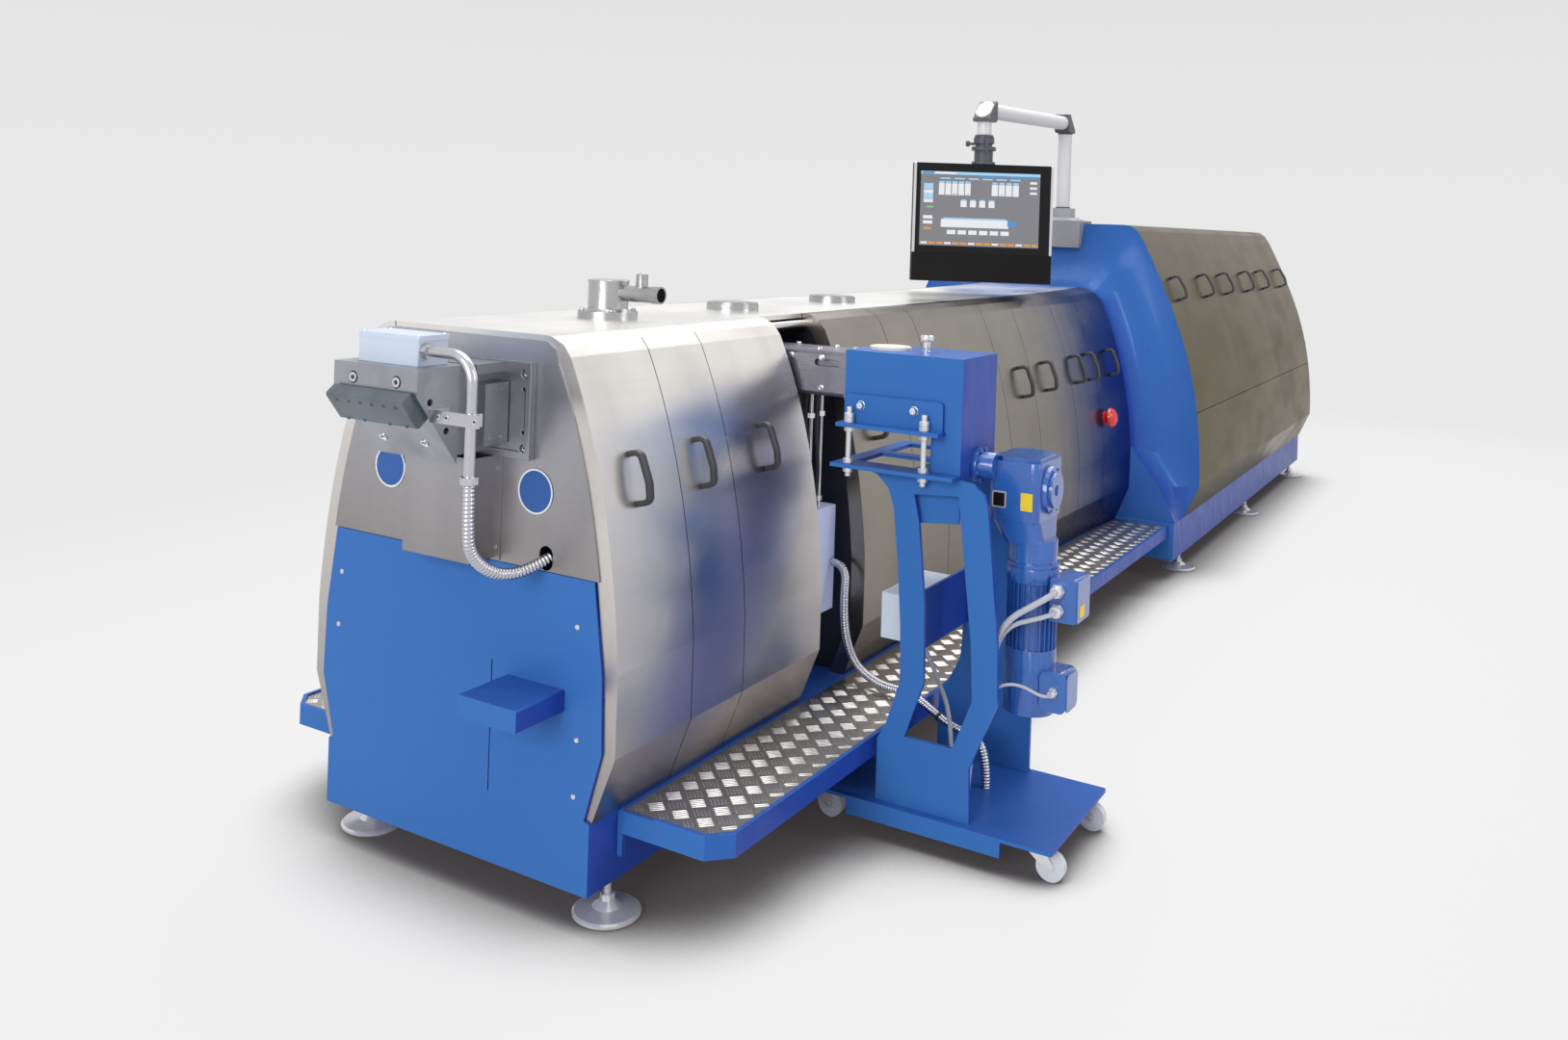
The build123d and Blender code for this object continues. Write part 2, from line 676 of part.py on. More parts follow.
# Bent conduit pipe from the heater box, with its end fitting and the strap that holds it to the die
conduitX = -220
conduitY = -238
conduitZ = dieTop + 34
conduitRadius = 12
conduitEnd = 1020
strapZ = 1158
strapThick = 6
with BuildPart() as conduit_pipe:
    with BuildLine() as conduitPath:
        FilletPolyline((conduitX - originX, -heaterBoxHalf - 0.2 - originY, conduitZ),
                       (conduitX - originX, conduitY - originY, conduitZ),
                       (conduitX - originX, conduitY - originY, conduitEnd), radius=62)
    with BuildSketch(alongPlane(-heaterBoxHalf - 0.2, conduitX, conduitZ)):
        Circle(conduitRadius)
    sweep(path=conduitPath.line)
    with BuildSketch(alongPlane(-heaterBoxHalf - 0.2, conduitX, conduitZ)):
        RegularPolygon(19, 6)
    extrude(amount=16)
    with BuildSketch(levelPlane(conduitEnd, conduitX, conduitY)):
        RegularPolygon(20, 6)
    extrude(amount=16)
    with BuildSketch(levelPlane(strapZ - 14, 0, 0)):
        with BuildLine():
            strapBack = conduitX - conduitRadius + 2
            strapFoot = -dieHalf - 0.3
            Polyline((conduitX + 36, strapFoot), (strapBack - strapThick, strapFoot),
                     (strapBack - strapThick, conduitY - 36), (strapBack, conduitY - 36),
                     (strapBack, conduitY - 18), (conduitX + conduitRadius + 4, conduitY - 18),
                     (conduitX + conduitRadius + 4, conduitY + 18), (strapBack, conduitY + 18),
                     (strapBack, strapFoot - strapThick), (conduitX + 36, strapFoot - strapThick), close=True)
        make_face()
    extrude(amount=28)
conduit_pipe.part.label = "conduit_pipe"
export_step(conduit_pipe.part, "parts/conduit_pipe.step")

# Corrugated hose that loops from the fitting into the wall slot
hoseRadius = 14
hoseRoute = [(conduitX, conduitY, conduitEnd - 0.3), (conduitX, conduitY, 926), (-196, -224, 856),
             (-128, -236, 804), (-50, -256, 798), (8, -276, 824)]
with BuildPart() as conduit_hose:
    with BuildLine() as hosePath:
        drawRoute(hoseRoute)
    with BuildSketch(Plane(origin=hosePath.line @ 0, z_dir=hosePath.line % 0)):
        Circle(hoseRadius)
    sweep(path=hosePath.line)
conduit_hose.part.label = "conduit_hose"
export_step(conduit_hose.part, "parts/conduit_hose.step")

# Folded sheet shield under the die
shieldFront = -78
shieldHalf = 108
shieldLow, shieldHigh = 797, 1038
shieldThick = 3
shieldFoot = wallFace - 0.2
with BuildPart() as outlet_shield:
    with BuildSketch(levelPlane(shieldLow)):
        with BuildLine():
            outer = [(shieldFoot, -shieldHalf - 26), (shieldFoot - shieldThick, -shieldHalf - 26),
                     (shieldFoot - shieldThick, -shieldHalf), (shieldFront, -shieldHalf)]
            inner = [(shieldFront + shieldThick, -shieldHalf + shieldThick), (shieldFoot, -shieldHalf + shieldThick)]
            Polyline(*outer, *[(x, -y) for x, y in reversed(outer)], *[(x, -y) for x, y in reversed(inner)],
                     *inner, close=True)
        make_face()
    extrude(amount=shieldHigh - shieldLow)
outlet_shield.part.label = "outlet_shield"
export_step(outlet_shield.part, "parts/outlet_shield.step")

# Two round sign discs on the wall
signRadius = 52
with BuildPart() as sign_discs:
    with BuildSketch(acrossPlane(wallFace - 0.1)):
        with Locations((-236, 970), (236, 970)):
            Circle(signRadius)
    extrude(amount=-1.5)
sign_discs.part.label = "sign_discs"
export_step(sign_discs.part, "parts/sign_discs.step")

# Barrel where the side feed gap shows it, with its flanges
barrelZ = 1150
with BuildPart() as barrel_section:
    with BuildSketch(acrossPlane(frontEnd - 39.5)):
        with Locations((0, barrelZ)):
            RectangleRounded(170, 190, 12)
    extrude(amount=midStart + 24.5 - frontEnd + 39.5)
    for x in (frontEnd, midStart - 20):
        with BuildSketch(acrossPlane(x)):
            with Locations((0, barrelZ)):
                RectangleRounded(210, 230, 14)
        extrude(amount=20)
barrel_section.part.label = "barrel_section"
export_step(barrel_section.part, "parts/barrel_section.step")

# Cast side feed barrel between the main barrel and the feeder
castX = (frontEnd + 22, midStart - 96)
castZ = 1182
castHigh = 128
castLow = castZ - castHigh / 2
castY = (gearboxY[1] + 0.3, -85.3)
with BuildPart() as side_barrel:
    with BuildSketch(alongPlane(castY[1])):
        with Locations((sum(castX) / 2, castZ)):
            RectangleRounded(castX[1] - castX[0], castHigh, 12)
    extrude(amount=castY[1] - castY[0])
    with BuildSketch(alongPlane(castY[0] + 62)):
        with Locations((sum(castX) / 2, castZ)):
            RectangleRounded(castX[1] - castX[0] + 16, castHigh + 16, 10)
    extrude(amount=62)
    with BuildSketch(acrossPlane(castX[0] - 9)):
        with Locations((-470, 1212)):
            SlotOverall(86, 20)
    extrude(amount=24, mode=Mode.SUBTRACT)
side_barrel.part.label = "side_barrel"
export_step(side_barrel.part, "parts/side_barrel.step")

# Grey control cabinet low in the gap
cabinetHigh = 766
with BuildPart() as gap_cabinet:
    with BuildSketch(levelPlane(frontBaseTop + 200, (frontEnd + midStart) / 2 - 6, 0)):
        Rectangle(midStart - frontEnd - 30, 2 * 392)
    extrude(amount=cabinetHigh - frontBaseTop - 200)
    with BuildSketch(levelPlane(frontBaseTop + 0.2, (frontEnd + midStart) / 2 - 6, 0)):
        Rectangle(midStart - frontEnd - 110, 2 * 300)
    extrude(amount=200.5)
gap_cabinet.part.label = "gap_cabinet"
export_step(gap_cabinet.part, "parts/gap_cabinet.step")

# Tubes in the gap: upright cooling pipes, and the covers' hinge tubes under the roof
pipeAt = [(1011, -380), (1071, -380)]
pipeRadius = 5
hingeAt = (246, 1296)
hingeRadius = 13
with BuildPart() as gap_tubes:
    for x, y in pipeAt:
        with BuildSketch(levelPlane(cabinetHigh + 0.2, x, y)):
            Circle(pipeRadius)
        extrude(amount=castLow - 0.3 - cabinetHigh - 0.2)
        with BuildSketch(levelPlane(cabinetHigh + 26, x, y), levelPlane(1040, x, y)):
            RegularPolygon(2 * pipeRadius, 6)
        extrude(amount=14)
    for side in (-1, 1):
        with BuildSketch(acrossPlane(frontEnd + 0.3)):
            with Locations((side * hingeAt[0], hingeAt[1])):
                Circle(hingeRadius)
        extrude(amount=midStart - frontEnd - 0.6)
gap_tubes.part.label = "gap_tubes"
export_step(gap_tubes.part, "parts/gap_tubes.step")

# Emergency stop: base ring and mushroom head on the flank
stopX, stopZ = 3540, 768
stopY = flankPoint(flared(stopX), stopZ)
stopHalf = 30
stopHead = 45
stopReach = 56
stopLean = (flankPoint(flared(stopX), stopZ - stopHalf) - flankPoint(flared(stopX), stopZ + stopHalf)) / (2 * stopHalf)
stopSkew = (flankPoint(flared(stopX + stopHalf), stopZ) - flankPoint(flared(stopX - stopHalf), stopZ)) / (2 * stopHalf)
stopPlane = Plane(origin=(stopX - originX, -stopY - 0.8 - originY, stopZ), x_dir=(1, -stopSkew, 0),
                  z_dir=(-stopSkew, -1, stopLean))
with BuildPart() as emergency_stop:
    with BuildSketch(Plane(origin=stopPlane.origin, x_dir=stopPlane.x_dir,
                           z_dir=stopPlane.x_dir.cross(stopPlane.z_dir))):
        with BuildLine():
            Polyline((0, 0), (stopHalf, 0), (stopHalf, 10), (18, 12), (18, 22), (stopHead - 3, 24), (stopHead, 29),
                     (stopHead - 3, 38), (stopHead - 11, 47), (20, 54), (9, stopReach), (0, stopReach), close=True)
        make_face()
    revolve(axis=Axis(stopPlane.origin, stopPlane.z_dir))
emergency_stop.part.label = "emergency_stop"
export_step(emergency_stop.part, "parts/emergency_stop.step")

# Pedestal of the operator panel's arm, with its chamfered foot and collar
collarTop = 1724
collarLow = 1663
with BuildPart() as arm_pedestal:
    with BuildSketch(levelPlane(collarLow, columnX, columnY)):
        RectangleRounded(200, 240, 8)
    with BuildSketch(levelPlane(1530, columnX + 20, columnY)):
        RectangleRounded(160, 214, 8)
    loft()
    with BuildSketch(levelPlane(1500, rearStart + 200, columnY)):
        Rectangle(400, 400)
    extrude(amount=rearChain[0][1] - 1500, mode=Mode.SUBTRACT)
    add(blue_cover.part, mode=Mode.SUBTRACT)
    with BuildSketch(levelPlane(collarLow, columnX, columnY)):
        RectangleRounded(170, 200, 20)
    with BuildSketch(levelPlane(collarLow + 16, columnX, columnY)):
        RectangleRounded(126, 140, 40)
    loft()
    with BuildSketch(levelPlane(collarLow + 16, columnX, columnY)):
        Circle(61)
    extrude(amount=collarTop - collarLow - 16)
arm_pedestal.part.label = "arm_pedestal"
export_step(arm_pedestal.part, "parts/arm_pedestal.step")

# Round tubes of the arm: column, boom that rises a little to the column, and drop tube
panelX = columnX - armReach
armTilt = math.atan2(armRise, armReach)
elbowDrop = 49          # from the boom axis down to an elbow's low face
elbowHalf = 40
elbowReach = 54
dropLow = 2000
boomStart = elbowReach * math.cos(armTilt)
with BuildPart() as arm_tubes:
    with BuildSketch(levelPlane(collarTop + 0.5, columnX, columnY)):
        Circle(tubeRadius)
    extrude(amount=armZ + armRise - elbowDrop - collarTop - 0.5)
    with BuildSketch(Plane(origin=(panelX + boomStart - originX, columnY - originY,
                                   armZ + elbowReach * math.sin(armTilt)),
                           x_dir=(0, 1, 0), z_dir=(math.cos(armTilt), 0, math.sin(armTilt)))):
        Circle(tubeRadius)
    extrude(amount=armReach / math.cos(armTilt) - 2 * elbowReach)
    with BuildSketch(levelPlane(dropLow, panelX, columnY)):
        Circle(tubeRadius - 3)
    extrude(amount=armZ - elbowDrop - dropLow)
arm_tubes.part.label = "arm_tubes"
export_step(arm_tubes.part, "parts/arm_tubes.step")

# Mitred elbows of the arm: a wedge round each corner with an oval cap on its slanted face
capSize = (104, 66)
capThick = 5
with BuildPart() as arm_elbows:
    for x, z, turn in ((panelX, armZ, 1), (columnX, armZ + armRise, -1)):
        def wedge(a, b):
            return x + turn * a, z + b
        def mouth(b):
            return wedge(elbowReach - 0.3 - turn * math.tan(armTilt) * b, b)
        slantTop, slantFoot = wedge(elbowReach - 14, elbowHalf + 3), wedge(-elbowHalf, -elbowDrop + 14)
        with BuildSketch(alongPlane(columnY)):
            with BuildLine():
                Polyline(wedge(-elbowHalf, -elbowDrop + 0.3), wedge(elbowHalf, -elbowDrop + 0.3),
                         mouth(-elbowHalf + 2), mouth(elbowHalf), slantTop, slantFoot, close=True)
            make_face()
        extrude(amount=elbowHalf - 2, both=True)
        along = (slantTop[0] - slantFoot[0], slantTop[1] - slantFoot[1])
        with BuildSketch(Plane(origin=((slantTop[0] + slantFoot[0]) / 2 - originX, columnY - originY,
                                       (slantTop[1] + slantFoot[1]) / 2),
                               x_dir=(along[0], 0, along[1]), z_dir=(-turn * along[1], 0, turn * along[0]))):
            RectangleRounded(capSize[0], capSize[1], capSize[1] / 2 - 1)
        extrude(amount=capThick)
arm_elbows.part.label = "arm_elbows"
export_step(arm_elbows.part, "parts/arm_elbows.step")

# Turning coupling above the screen, with its clamp lever
with BuildPart() as panel_coupling:
    with BuildSketch(levelPlane(dropLow - 0.5, panelX, columnY)):
        Circle(44)
    extrude(amount=-26)
    with BuildSketch(levelPlane(dropLow - 26.5, panelX, columnY)):
        Circle(36)
    extrude(amount=-14)
    with BuildSketch(levelPlane(dropLow - 40.5, panelX, columnY)):
        Circle(52)
    extrude(amount=-16)
    with BuildSketch(levelPlane(dropLow - 56.5, panelX, columnY)):
        Circle(40)
    extrude(amount=-(dropLow - 56.5 - screenHigh - 10.3))
    with BuildSketch(levelPlane(screenHigh + 0.3, panelX, columnY)):
        Circle(50)
    extrude(amount=10.5)
    with BuildSketch(panelPlane(40, dropLow - 14)):
        Circle(7)
    extrude(amount=30)
    with BuildSketch(panelPlane(64, dropLow - 14)):
        with Locations((0, -22)):
            RectangleRounded(13, 58, 6)
    extrude(amount=11)
panel_coupling.part.label = "panel_coupling"
export_step(panel_coupling.part, "parts/panel_coupling.step")

# Screen housing with its silver side rails
screenDeep = 56
with BuildPart() as screen_housing:
    with BuildSketch(panelPlane(-screenDeep / 2)):
        with Locations((0, (screenLow + screenHigh) / 2)):
            Rectangle(screenWide, screenHigh - screenLow)
    extrude(amount=screenDeep)
    with BuildSketch(panelPlane(-screenDeep / 2)):
        with Locations((0, (screenLow + screenHigh) / 2)):
            Rectangle(screenWide - 90, screenHigh - screenLow - 70)
    extrude(amount=-22)
screen_housing.part.label = "screen_housing"
export_step(screen_housing.part, "parts/screen_housing.step")

# Black glass front of the screen
with BuildPart() as screen_glass:
    with BuildSketch(panelPlane(screenDeep / 2 + 0.2)):
        with Locations((0, (screenLow + screenHigh) / 2)):
            Rectangle(screenWide - 26, screenHigh - screenLow - 4)
    extrude(amount=4)
screen_glass.part.label = "screen_glass"
export_step(screen_glass.part, "parts/screen_glass.step")

# Black operating box below the screen
with BuildPart() as operating_box:
    with BuildSketch(panelPlane(-screenDeep / 2)):
        with Locations((0, (boxLow + screenLow - 0.3) / 2)):
            Rectangle(screenWide, screenLow - boxLow - 0.3)
    extrude(amount=screenDeep + 4)
operating_box.part.label = "operating_box"
export_step(operating_box.part, "parts/operating_box.step")

# Blue gear housing of the side feeder, stepped at its foot
with BuildPart() as feeder_gearbox:
    with BuildSketch(acrossPlane(gearboxX[0])):
        with BuildLine():
            Polyline((gearboxY[1], 1268), (gearboxY[0], 1268), (gearboxY[0], 970.2), (gearboxY[0] + 84, 970.2),
                     (gearboxY[0] + 84, 1060), (gearboxY[1], 1060), close=True)
        make_face()
    extrude(amount=gearboxX[1] - gearboxX[0])
    with BuildSketch(levelPlane(1268, 930, -668)):
        Circle(57)
    extrude(amount=7)
    with BuildSketch(levelPlane(1268, 930, -775)):
        Circle(9)
    extrude(amount=30)
    with BuildSketch(levelPlane(1298, 930, -775)):
        Circle(17)
    extrude(amount=16)
feeder_gearbox.part.label = "feeder_gearbox"
export_step(feeder_gearbox.part, "parts/feeder_gearbox.step")

# Bolted bracket on the gear housing and its two adjusting rods
rodX = 791
rodY = (-620, -838)
bracketLow = 1068
bracketDeep = 48
standTop = 970
standSheet = 10
nutHigh = 13
with BuildPart() as feeder_bracket:
    with BuildSketch(acrossPlane(gearboxX[0] - 0.2)):
        with Locations((-741, 1111)):
            RectangleRounded(282, 84, 12)
    extrude(amount=-11)
    with BuildSketch(levelPlane(bracketLow, gearboxX[0] - 0.2 - bracketDeep / 2, -738)):
        Rectangle(bracketDeep, 296)
    extrude(amount=10)
    with BuildSketch(acrossPlane(gearboxX[0] - 11.2)):
        with Locations((-645, 1124), (-800, 1124)):
            RegularPolygon(12, 6)
    extrude(amount=-9)
    for y in rodY:
        with BuildSketch(levelPlane(standTop - 34, rodX, y)):
            Circle(7)
        extrude(amount=182)
        for z in (standTop - standSheet - nutHigh - 0.2, standTop + 0.2, bracketLow - nutHigh, bracketLow + 10,
                  bracketLow + 10 + nutHigh):
            with BuildSketch(levelPlane(z, rodX, y)):
                RegularPolygon(12, 6)
            extrude(amount=nutHigh)
feeder_bracket.part.label = "feeder_bracket"
export_step(feeder_bracket.part, "parts/feeder_bracket.step")

# Blue stand: bent front plate with its tall window, back plate, cross plate, open top plate, base plate
with BuildPart() as feeder_stand:
    with BuildSketch(acrossPlane(standFront)):
        with BuildLine():
            Polyline((-722, feederBaseTop - 1), (-722, 255), (-745, 297), (-782, 416), (-778, 560), (-765, 720),
                     (-748, 866), (-730, 915), (-697, 946), (-650, 958), (-577, 961), (-929.7, 961), (-929.9, 959), (-968, 955),
                     (-1000, 928), (-1010, 895), (-1047, 560), (-1052, 411), (-981, 233), (-986, feederBaseTop - 1),
                     close=True)
        make_face()
        with BuildLine():
            Polyline((-800, 275), (-849, 424), (-844, 624), (-821, 839), (-806, 908), (-930, 918), (-976, 552),
                     (-984, 405), (-934, 275), close=True)
        make_face(mode=Mode.SUBTRACT)
    extrude(amount=standPlate)
    with BuildSketch(acrossPlane(standBack)):
        with BuildLine():
            Polyline((-722, feederBaseTop - 1), (-724, 268), (-753, 305), (-785, 372), (-790, 430), (-790, 800),
                     (-770, 832), (-700, 850), (-700, 961), (-1000, 961), (-1000, feederBaseTop - 1), close=True)
        make_face()
    extrude(amount=standPlate)
    with BuildSketch(levelPlane(standTop - 10)):
        with Locations(((rodX - 22 + standBack + standPlate) / 2, (gearboxY[0] + 0.3 - 577) / 2)):
            Rectangle(standBack + standPlate - rodX + 22, -577 - gearboxY[0] - 0.3)
        with Locations((1110, -735)):
            Rectangle(150, 230, mode=Mode.SUBTRACT)
        with Locations((920, -705)):
            Rectangle(150, 170, mode=Mode.SUBTRACT)
        with Locations(*[(rodX, y) for y in rodY]):
            Circle(7.3, mode=Mode.SUBTRACT)
    extrude(amount=10)
    with BuildSketch(acrossPlane(standFront + standPlate + 12)):
        with BuildLine():
            Polyline((-792, standTop - 9), (-792, 828), (-923, 842), (-923, standTop - 9), close=True)
        make_face()
    extrude(amount=8)
    with BuildSketch(alongPlane(-800)):
        with Locations(((standFront + standPlate + standBack) / 2, 560)):
            Rectangle(standBack - standFront - standPlate + 2, 156)
    extrude(amount=8)
    with BuildSketch(levelPlane(feederBaseLow, 1010, -859)):
        RectangleRounded(446, 708, 8)
    extrude(amount=feederBaseTop - feederBaseLow)
    with BuildSketch(levelPlane(47, 791, -865)):
        Rectangle(8, 430)
    extrude(amount=feederBaseLow - 47)
feeder_stand.part.label = "feeder_stand"
export_step(feeder_stand.part, "parts/feeder_stand.step")

# Caster forks with their top plates
with BuildPart() as caster_forks:
    for x in casterX:
        for y in casterY:
            with BuildSketch(levelPlane(feederBaseLow - 4, x, y)):
                RectangleRounded(62, 62, 6)
            extrude(amount=3.8)
            with BuildSketch(levelPlane(feederBaseLow - 12, x, y)):
                Circle(24)
            extrude(amount=8.2)
            for s in (-1, 1):
                with BuildSketch(acrossPlane(x + s * (wheelTread / 2 + 3), y)) as leg:
                    with BuildLine():
                        Polyline((22, feederBaseLow - 12), (-24, feederBaseLow - 12), (-casterTrail - 11, wheelRadius + 4),
                                 (-casterTrail - 6, wheelRadius - 9), (-casterTrail + 8, wheelRadius - 8), (16, 62),
                                 close=True)
                    make_face()
                extrude(amount=s * 3)
            with BuildSketch(levelPlane(feederBaseLow - 12, x, y)):
                Rectangle(wheelTread + 12, 44)
            extrude(amount=3)
            with BuildSketch(acrossPlane(x - wheelTread / 2 - 9, y - casterTrail, wheelRadius)):
                Circle(5)
            extrude(amount=3)
            with BuildSketch(acrossPlane(x + wheelTread / 2 + 6, y - casterTrail, wheelRadius)):
                Circle(5)
            extrude(amount=3)
caster_forks.part.label = "caster_forks"
export_step(caster_forks.part, "parts/caster_forks.step")

# Caster wheels with their hubs
with BuildPart() as caster_wheels:
    for x in casterX:
        for y in casterY:
            with BuildSketch(acrossPlane(x - wheelTread / 2, y - casterTrail, wheelRadius)):
                Circle(wheelRadius)
            extrude(amount=wheelTread)
            with BuildSketch(acrossPlane(x - wheelTread / 2 - 2.9, y - casterTrail, wheelRadius)):
                Circle(12)
            extrude(amount=wheelTread + 5.8)
caster_wheels.part.label = "caster_wheels"
export_step(caster_wheels.part, "parts/caster_wheels.step")

# Grey terminal box on the cross plate
with BuildPart() as feeder_box:
    with BuildSketch(levelPlane(508, 985, -751.5)):
        RectangleRounded(270, 96.4, 4)
    extrude(amount=120)
feeder_box.part.label = "feeder_box"
export_step(feeder_box.part, "parts/feeder_box.step")

# Bevel gear unit of the feeder's drive
unitX = (931, 1120)
unitY = (-1100, -962)
unitZ = (792, 1012)
unitWaist = 850
unitMid = (sum(unitX) / 2, sum(unitY) / 2)
shaftAt = (930, 985)
hubAt = (1022, 926)
with BuildPart() as bevel_unit:
    with BuildSketch(levelPlane(unitWaist, *unitMid)):
        RectangleRounded(unitX[1] - unitX[0], unitY[1] - unitY[0], 22)
    extrude(amount=unitZ[1] - 10 - unitWaist)
    with BuildSketch(levelPlane(unitZ[0], motorAxis[0] + 6, motorAxis[1] + 14)):
        RectangleRounded(134, 112, 30)
    with BuildSketch(levelPlane(unitWaist, *unitMid)):
        RectangleRounded(unitX[1] - unitX[0] - 8, unitY[1] - unitY[0] - 6, 30)
    loft()
    with BuildSketch(levelPlane(unitZ[1] - 10, *unitMid)):
        with BuildLine():
            Polyline(*[(s * a, t * b) for s, t, a, b in
                       ((-1, -1, 84, 34), (-1, -1, 58, 60), (1, -1, 58, 60), (1, -1, 84, 34),
                        (1, 1, 84, 34), (1, 1, 58, 60), (-1, 1, 58, 60), (-1, 1, 84, 34))], close=True)
        make_face()
    extrude(amount=10)
    with BuildSketch(alongPlane(gearboxY[0] - 0.3, *shaftAt)):
        Circle(46)
    extrude(amount=14)
    with BuildSketch(alongPlane(gearboxY[0] - 14.3, *shaftAt)):
        Circle(36)
    extrude(amount=unitY[1] * -1 + gearboxY[0] - 14.3 + 24)
    with BuildSketch(alongPlane(unitY[0] + 4, *hubAt)):
        Circle(64)
    extrude(amount=16)
    with BuildSketch(alongPlane(unitY[0] - 12, *hubAt)):
        Circle(48)
    extrude(amount=8)
    with BuildSketch(levelPlane(730.2, *motorAxis)):
        Circle(motorRadius - 4)
    extrude(amount=unitZ[0] + 10 - 730.2)
    with BuildSketch(levelPlane(730.2, *motorAxis)):
        Circle(motorRadius + 2)
    extrude(amount=12)
bevel_unit.part.label = "bevel_unit"
export_step(bevel_unit.part, "parts/bevel_unit.step")

# Ribbed motor below the gear unit, with terminal box, brake box and cable glands on its flank
motorLow = 352
ribLow, ribHigh = 520, 692
boxFace = (958, 946)    # faces of terminal box and brake box with the cable glands
with BuildPart() as drive_motor:
    with BuildSketch(levelPlane(motorLow, *motorAxis)):
        Circle(motorRadius)
    extrude(amount=ribLow - motorLow)
    with BuildSketch(levelPlane(ribLow, *motorAxis)):
        Circle(motorRadius - 9)
    extrude(amount=ribHigh - ribLow)
    with BuildSketch(levelPlane(ribLow - 1, *motorAxis)):
        with PolarLocations(motorRadius - 7, 28):
            Rectangle(14, 3)
    extrude(amount=ribHigh - ribLow + 2)
    with BuildSketch(levelPlane(ribHigh, *motorAxis)):
        Circle(motorRadius + 2)
    extrude(amount=730 - ribHigh)
    with BuildSketch(acrossPlane(boxFace[0])):
        with Locations((-1165, 659)):
            RectangleRounded(70, 112, 8)
    extrude(amount=104)
    with BuildSketch(acrossPlane(boxFace[1])):
        with Locations((-1149, 425)):
            RectangleRounded(70, 102, 18)
    extrude(amount=88)
    for x, z, r in ((boxFace[0], 684, 15), (boxFace[0], 634, 15), (boxFace[1], 428, 10)):
        with BuildSketch(acrossPlane(x, -1152, z)):
            RegularPolygon(r, 6)
        extrude(amount=-14)
        with BuildSketch(acrossPlane(x - 14, -1152, z)):
            Circle(r - 3)
        extrude(amount=-14)
drive_motor.part.label = "drive_motor"
export_step(drive_motor.part, "parts/drive_motor.step")

# Grey cables from the glands down behind the stand's post, and a thin one from the terminal box to the base
cableRoutes = [((929.7, -1152, 684), (888, -1152, 684), (853, -1024, 596), (850, -1013, 415), (850, -957, 270),
                (850, -957, feederBaseTop + 0.3), 8),
               ((929.7, -1152, 634), (892, -1152, 634), (872, -1024, 588), (872, -1013, 410), (872, -957, 265),
                (872, -957, feederBaseTop + 0.3), 6),
               ((917.7, -1152, 428), (884, -1152, 428), (866, -1080, 462), (838, -1022, 440), (836, -1000, 360),
                (834, -957, 260), (834, -957, feederBaseTop + 0.3), 4)]
thinRoute = [(1000, -760, 507.7), (1000, -760, 466), (1000, -799, 393), (1000, -857, 275),
             (1000, -857, feederBaseTop + 0.3)]
with BuildPart() as feeder_cables:
    for *route, radius in cableRoutes:
        with BuildLine() as cablePath:
            drawRoute(route)
        with BuildSketch(Plane(origin=cablePath.line @ 0, z_dir=cablePath.line % 0)):
            Circle(radius)
        sweep(path=cablePath.line)
    with BuildLine() as thinPath:
        drawRoute(thinRoute)
    with BuildSketch(Plane(origin=thinPath.line @ 0, z_dir=thinPath.line % 0)):
        Circle(6)
    sweep(path=thinPath.line)
feeder_cables.part.label = "feeder_cables"
export_step(feeder_cables.part, "parts/feeder_cables.step")

# Corrugated hose from the cabinet over the tread into the stand
feederHoseRadius = 13
feederRoute = [(1138, -392.3, 600), (1138, -446, 600), (1094, -462, 500), (1104, -466, 392), (1150, -480, 300),
               (1112, -580, 275), (1098, -680, 281), (1062, -766, 262), (1050, -833, 232), (1046, -938, 225),
               (1046, -938, feederBaseTop + 0.3)]
with BuildPart() as feeder_hose:
    with BuildLine() as feederPath:
        drawRoute(feederRoute)
    with BuildSketch(Plane(origin=feederPath.line @ 0, z_dir=feederPath.line % 0)):
        Circle(feederHoseRadius)
    sweep(path=feederPath.line)
feeder_hose.part.label = "feeder_hose"
export_step(feeder_hose.part, "parts/feeder_hose.step")
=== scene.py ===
import bpy
import bmesh
import math
import random
from mathutils import Matrix, Vector


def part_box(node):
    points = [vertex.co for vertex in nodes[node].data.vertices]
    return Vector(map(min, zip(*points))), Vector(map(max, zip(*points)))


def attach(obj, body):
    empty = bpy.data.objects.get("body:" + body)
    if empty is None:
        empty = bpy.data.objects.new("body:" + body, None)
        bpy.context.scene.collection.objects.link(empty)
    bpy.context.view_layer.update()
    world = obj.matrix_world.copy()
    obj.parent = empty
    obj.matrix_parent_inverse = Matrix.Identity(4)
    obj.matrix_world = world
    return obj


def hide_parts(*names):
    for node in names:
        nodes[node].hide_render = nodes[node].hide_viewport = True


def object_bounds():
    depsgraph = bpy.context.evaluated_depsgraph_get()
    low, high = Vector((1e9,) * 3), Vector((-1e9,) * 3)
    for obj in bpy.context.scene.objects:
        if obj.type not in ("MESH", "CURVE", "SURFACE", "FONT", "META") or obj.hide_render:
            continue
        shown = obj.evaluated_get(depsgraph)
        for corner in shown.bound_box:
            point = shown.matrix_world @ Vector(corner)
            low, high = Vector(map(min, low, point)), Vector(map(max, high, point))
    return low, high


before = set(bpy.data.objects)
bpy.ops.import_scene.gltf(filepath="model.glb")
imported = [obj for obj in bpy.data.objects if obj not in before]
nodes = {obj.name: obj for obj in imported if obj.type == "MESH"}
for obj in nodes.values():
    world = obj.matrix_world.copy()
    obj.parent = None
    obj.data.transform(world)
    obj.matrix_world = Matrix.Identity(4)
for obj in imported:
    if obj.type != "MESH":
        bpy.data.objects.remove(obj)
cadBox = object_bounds()
print("frame loaded:", len(nodes), "nodes")

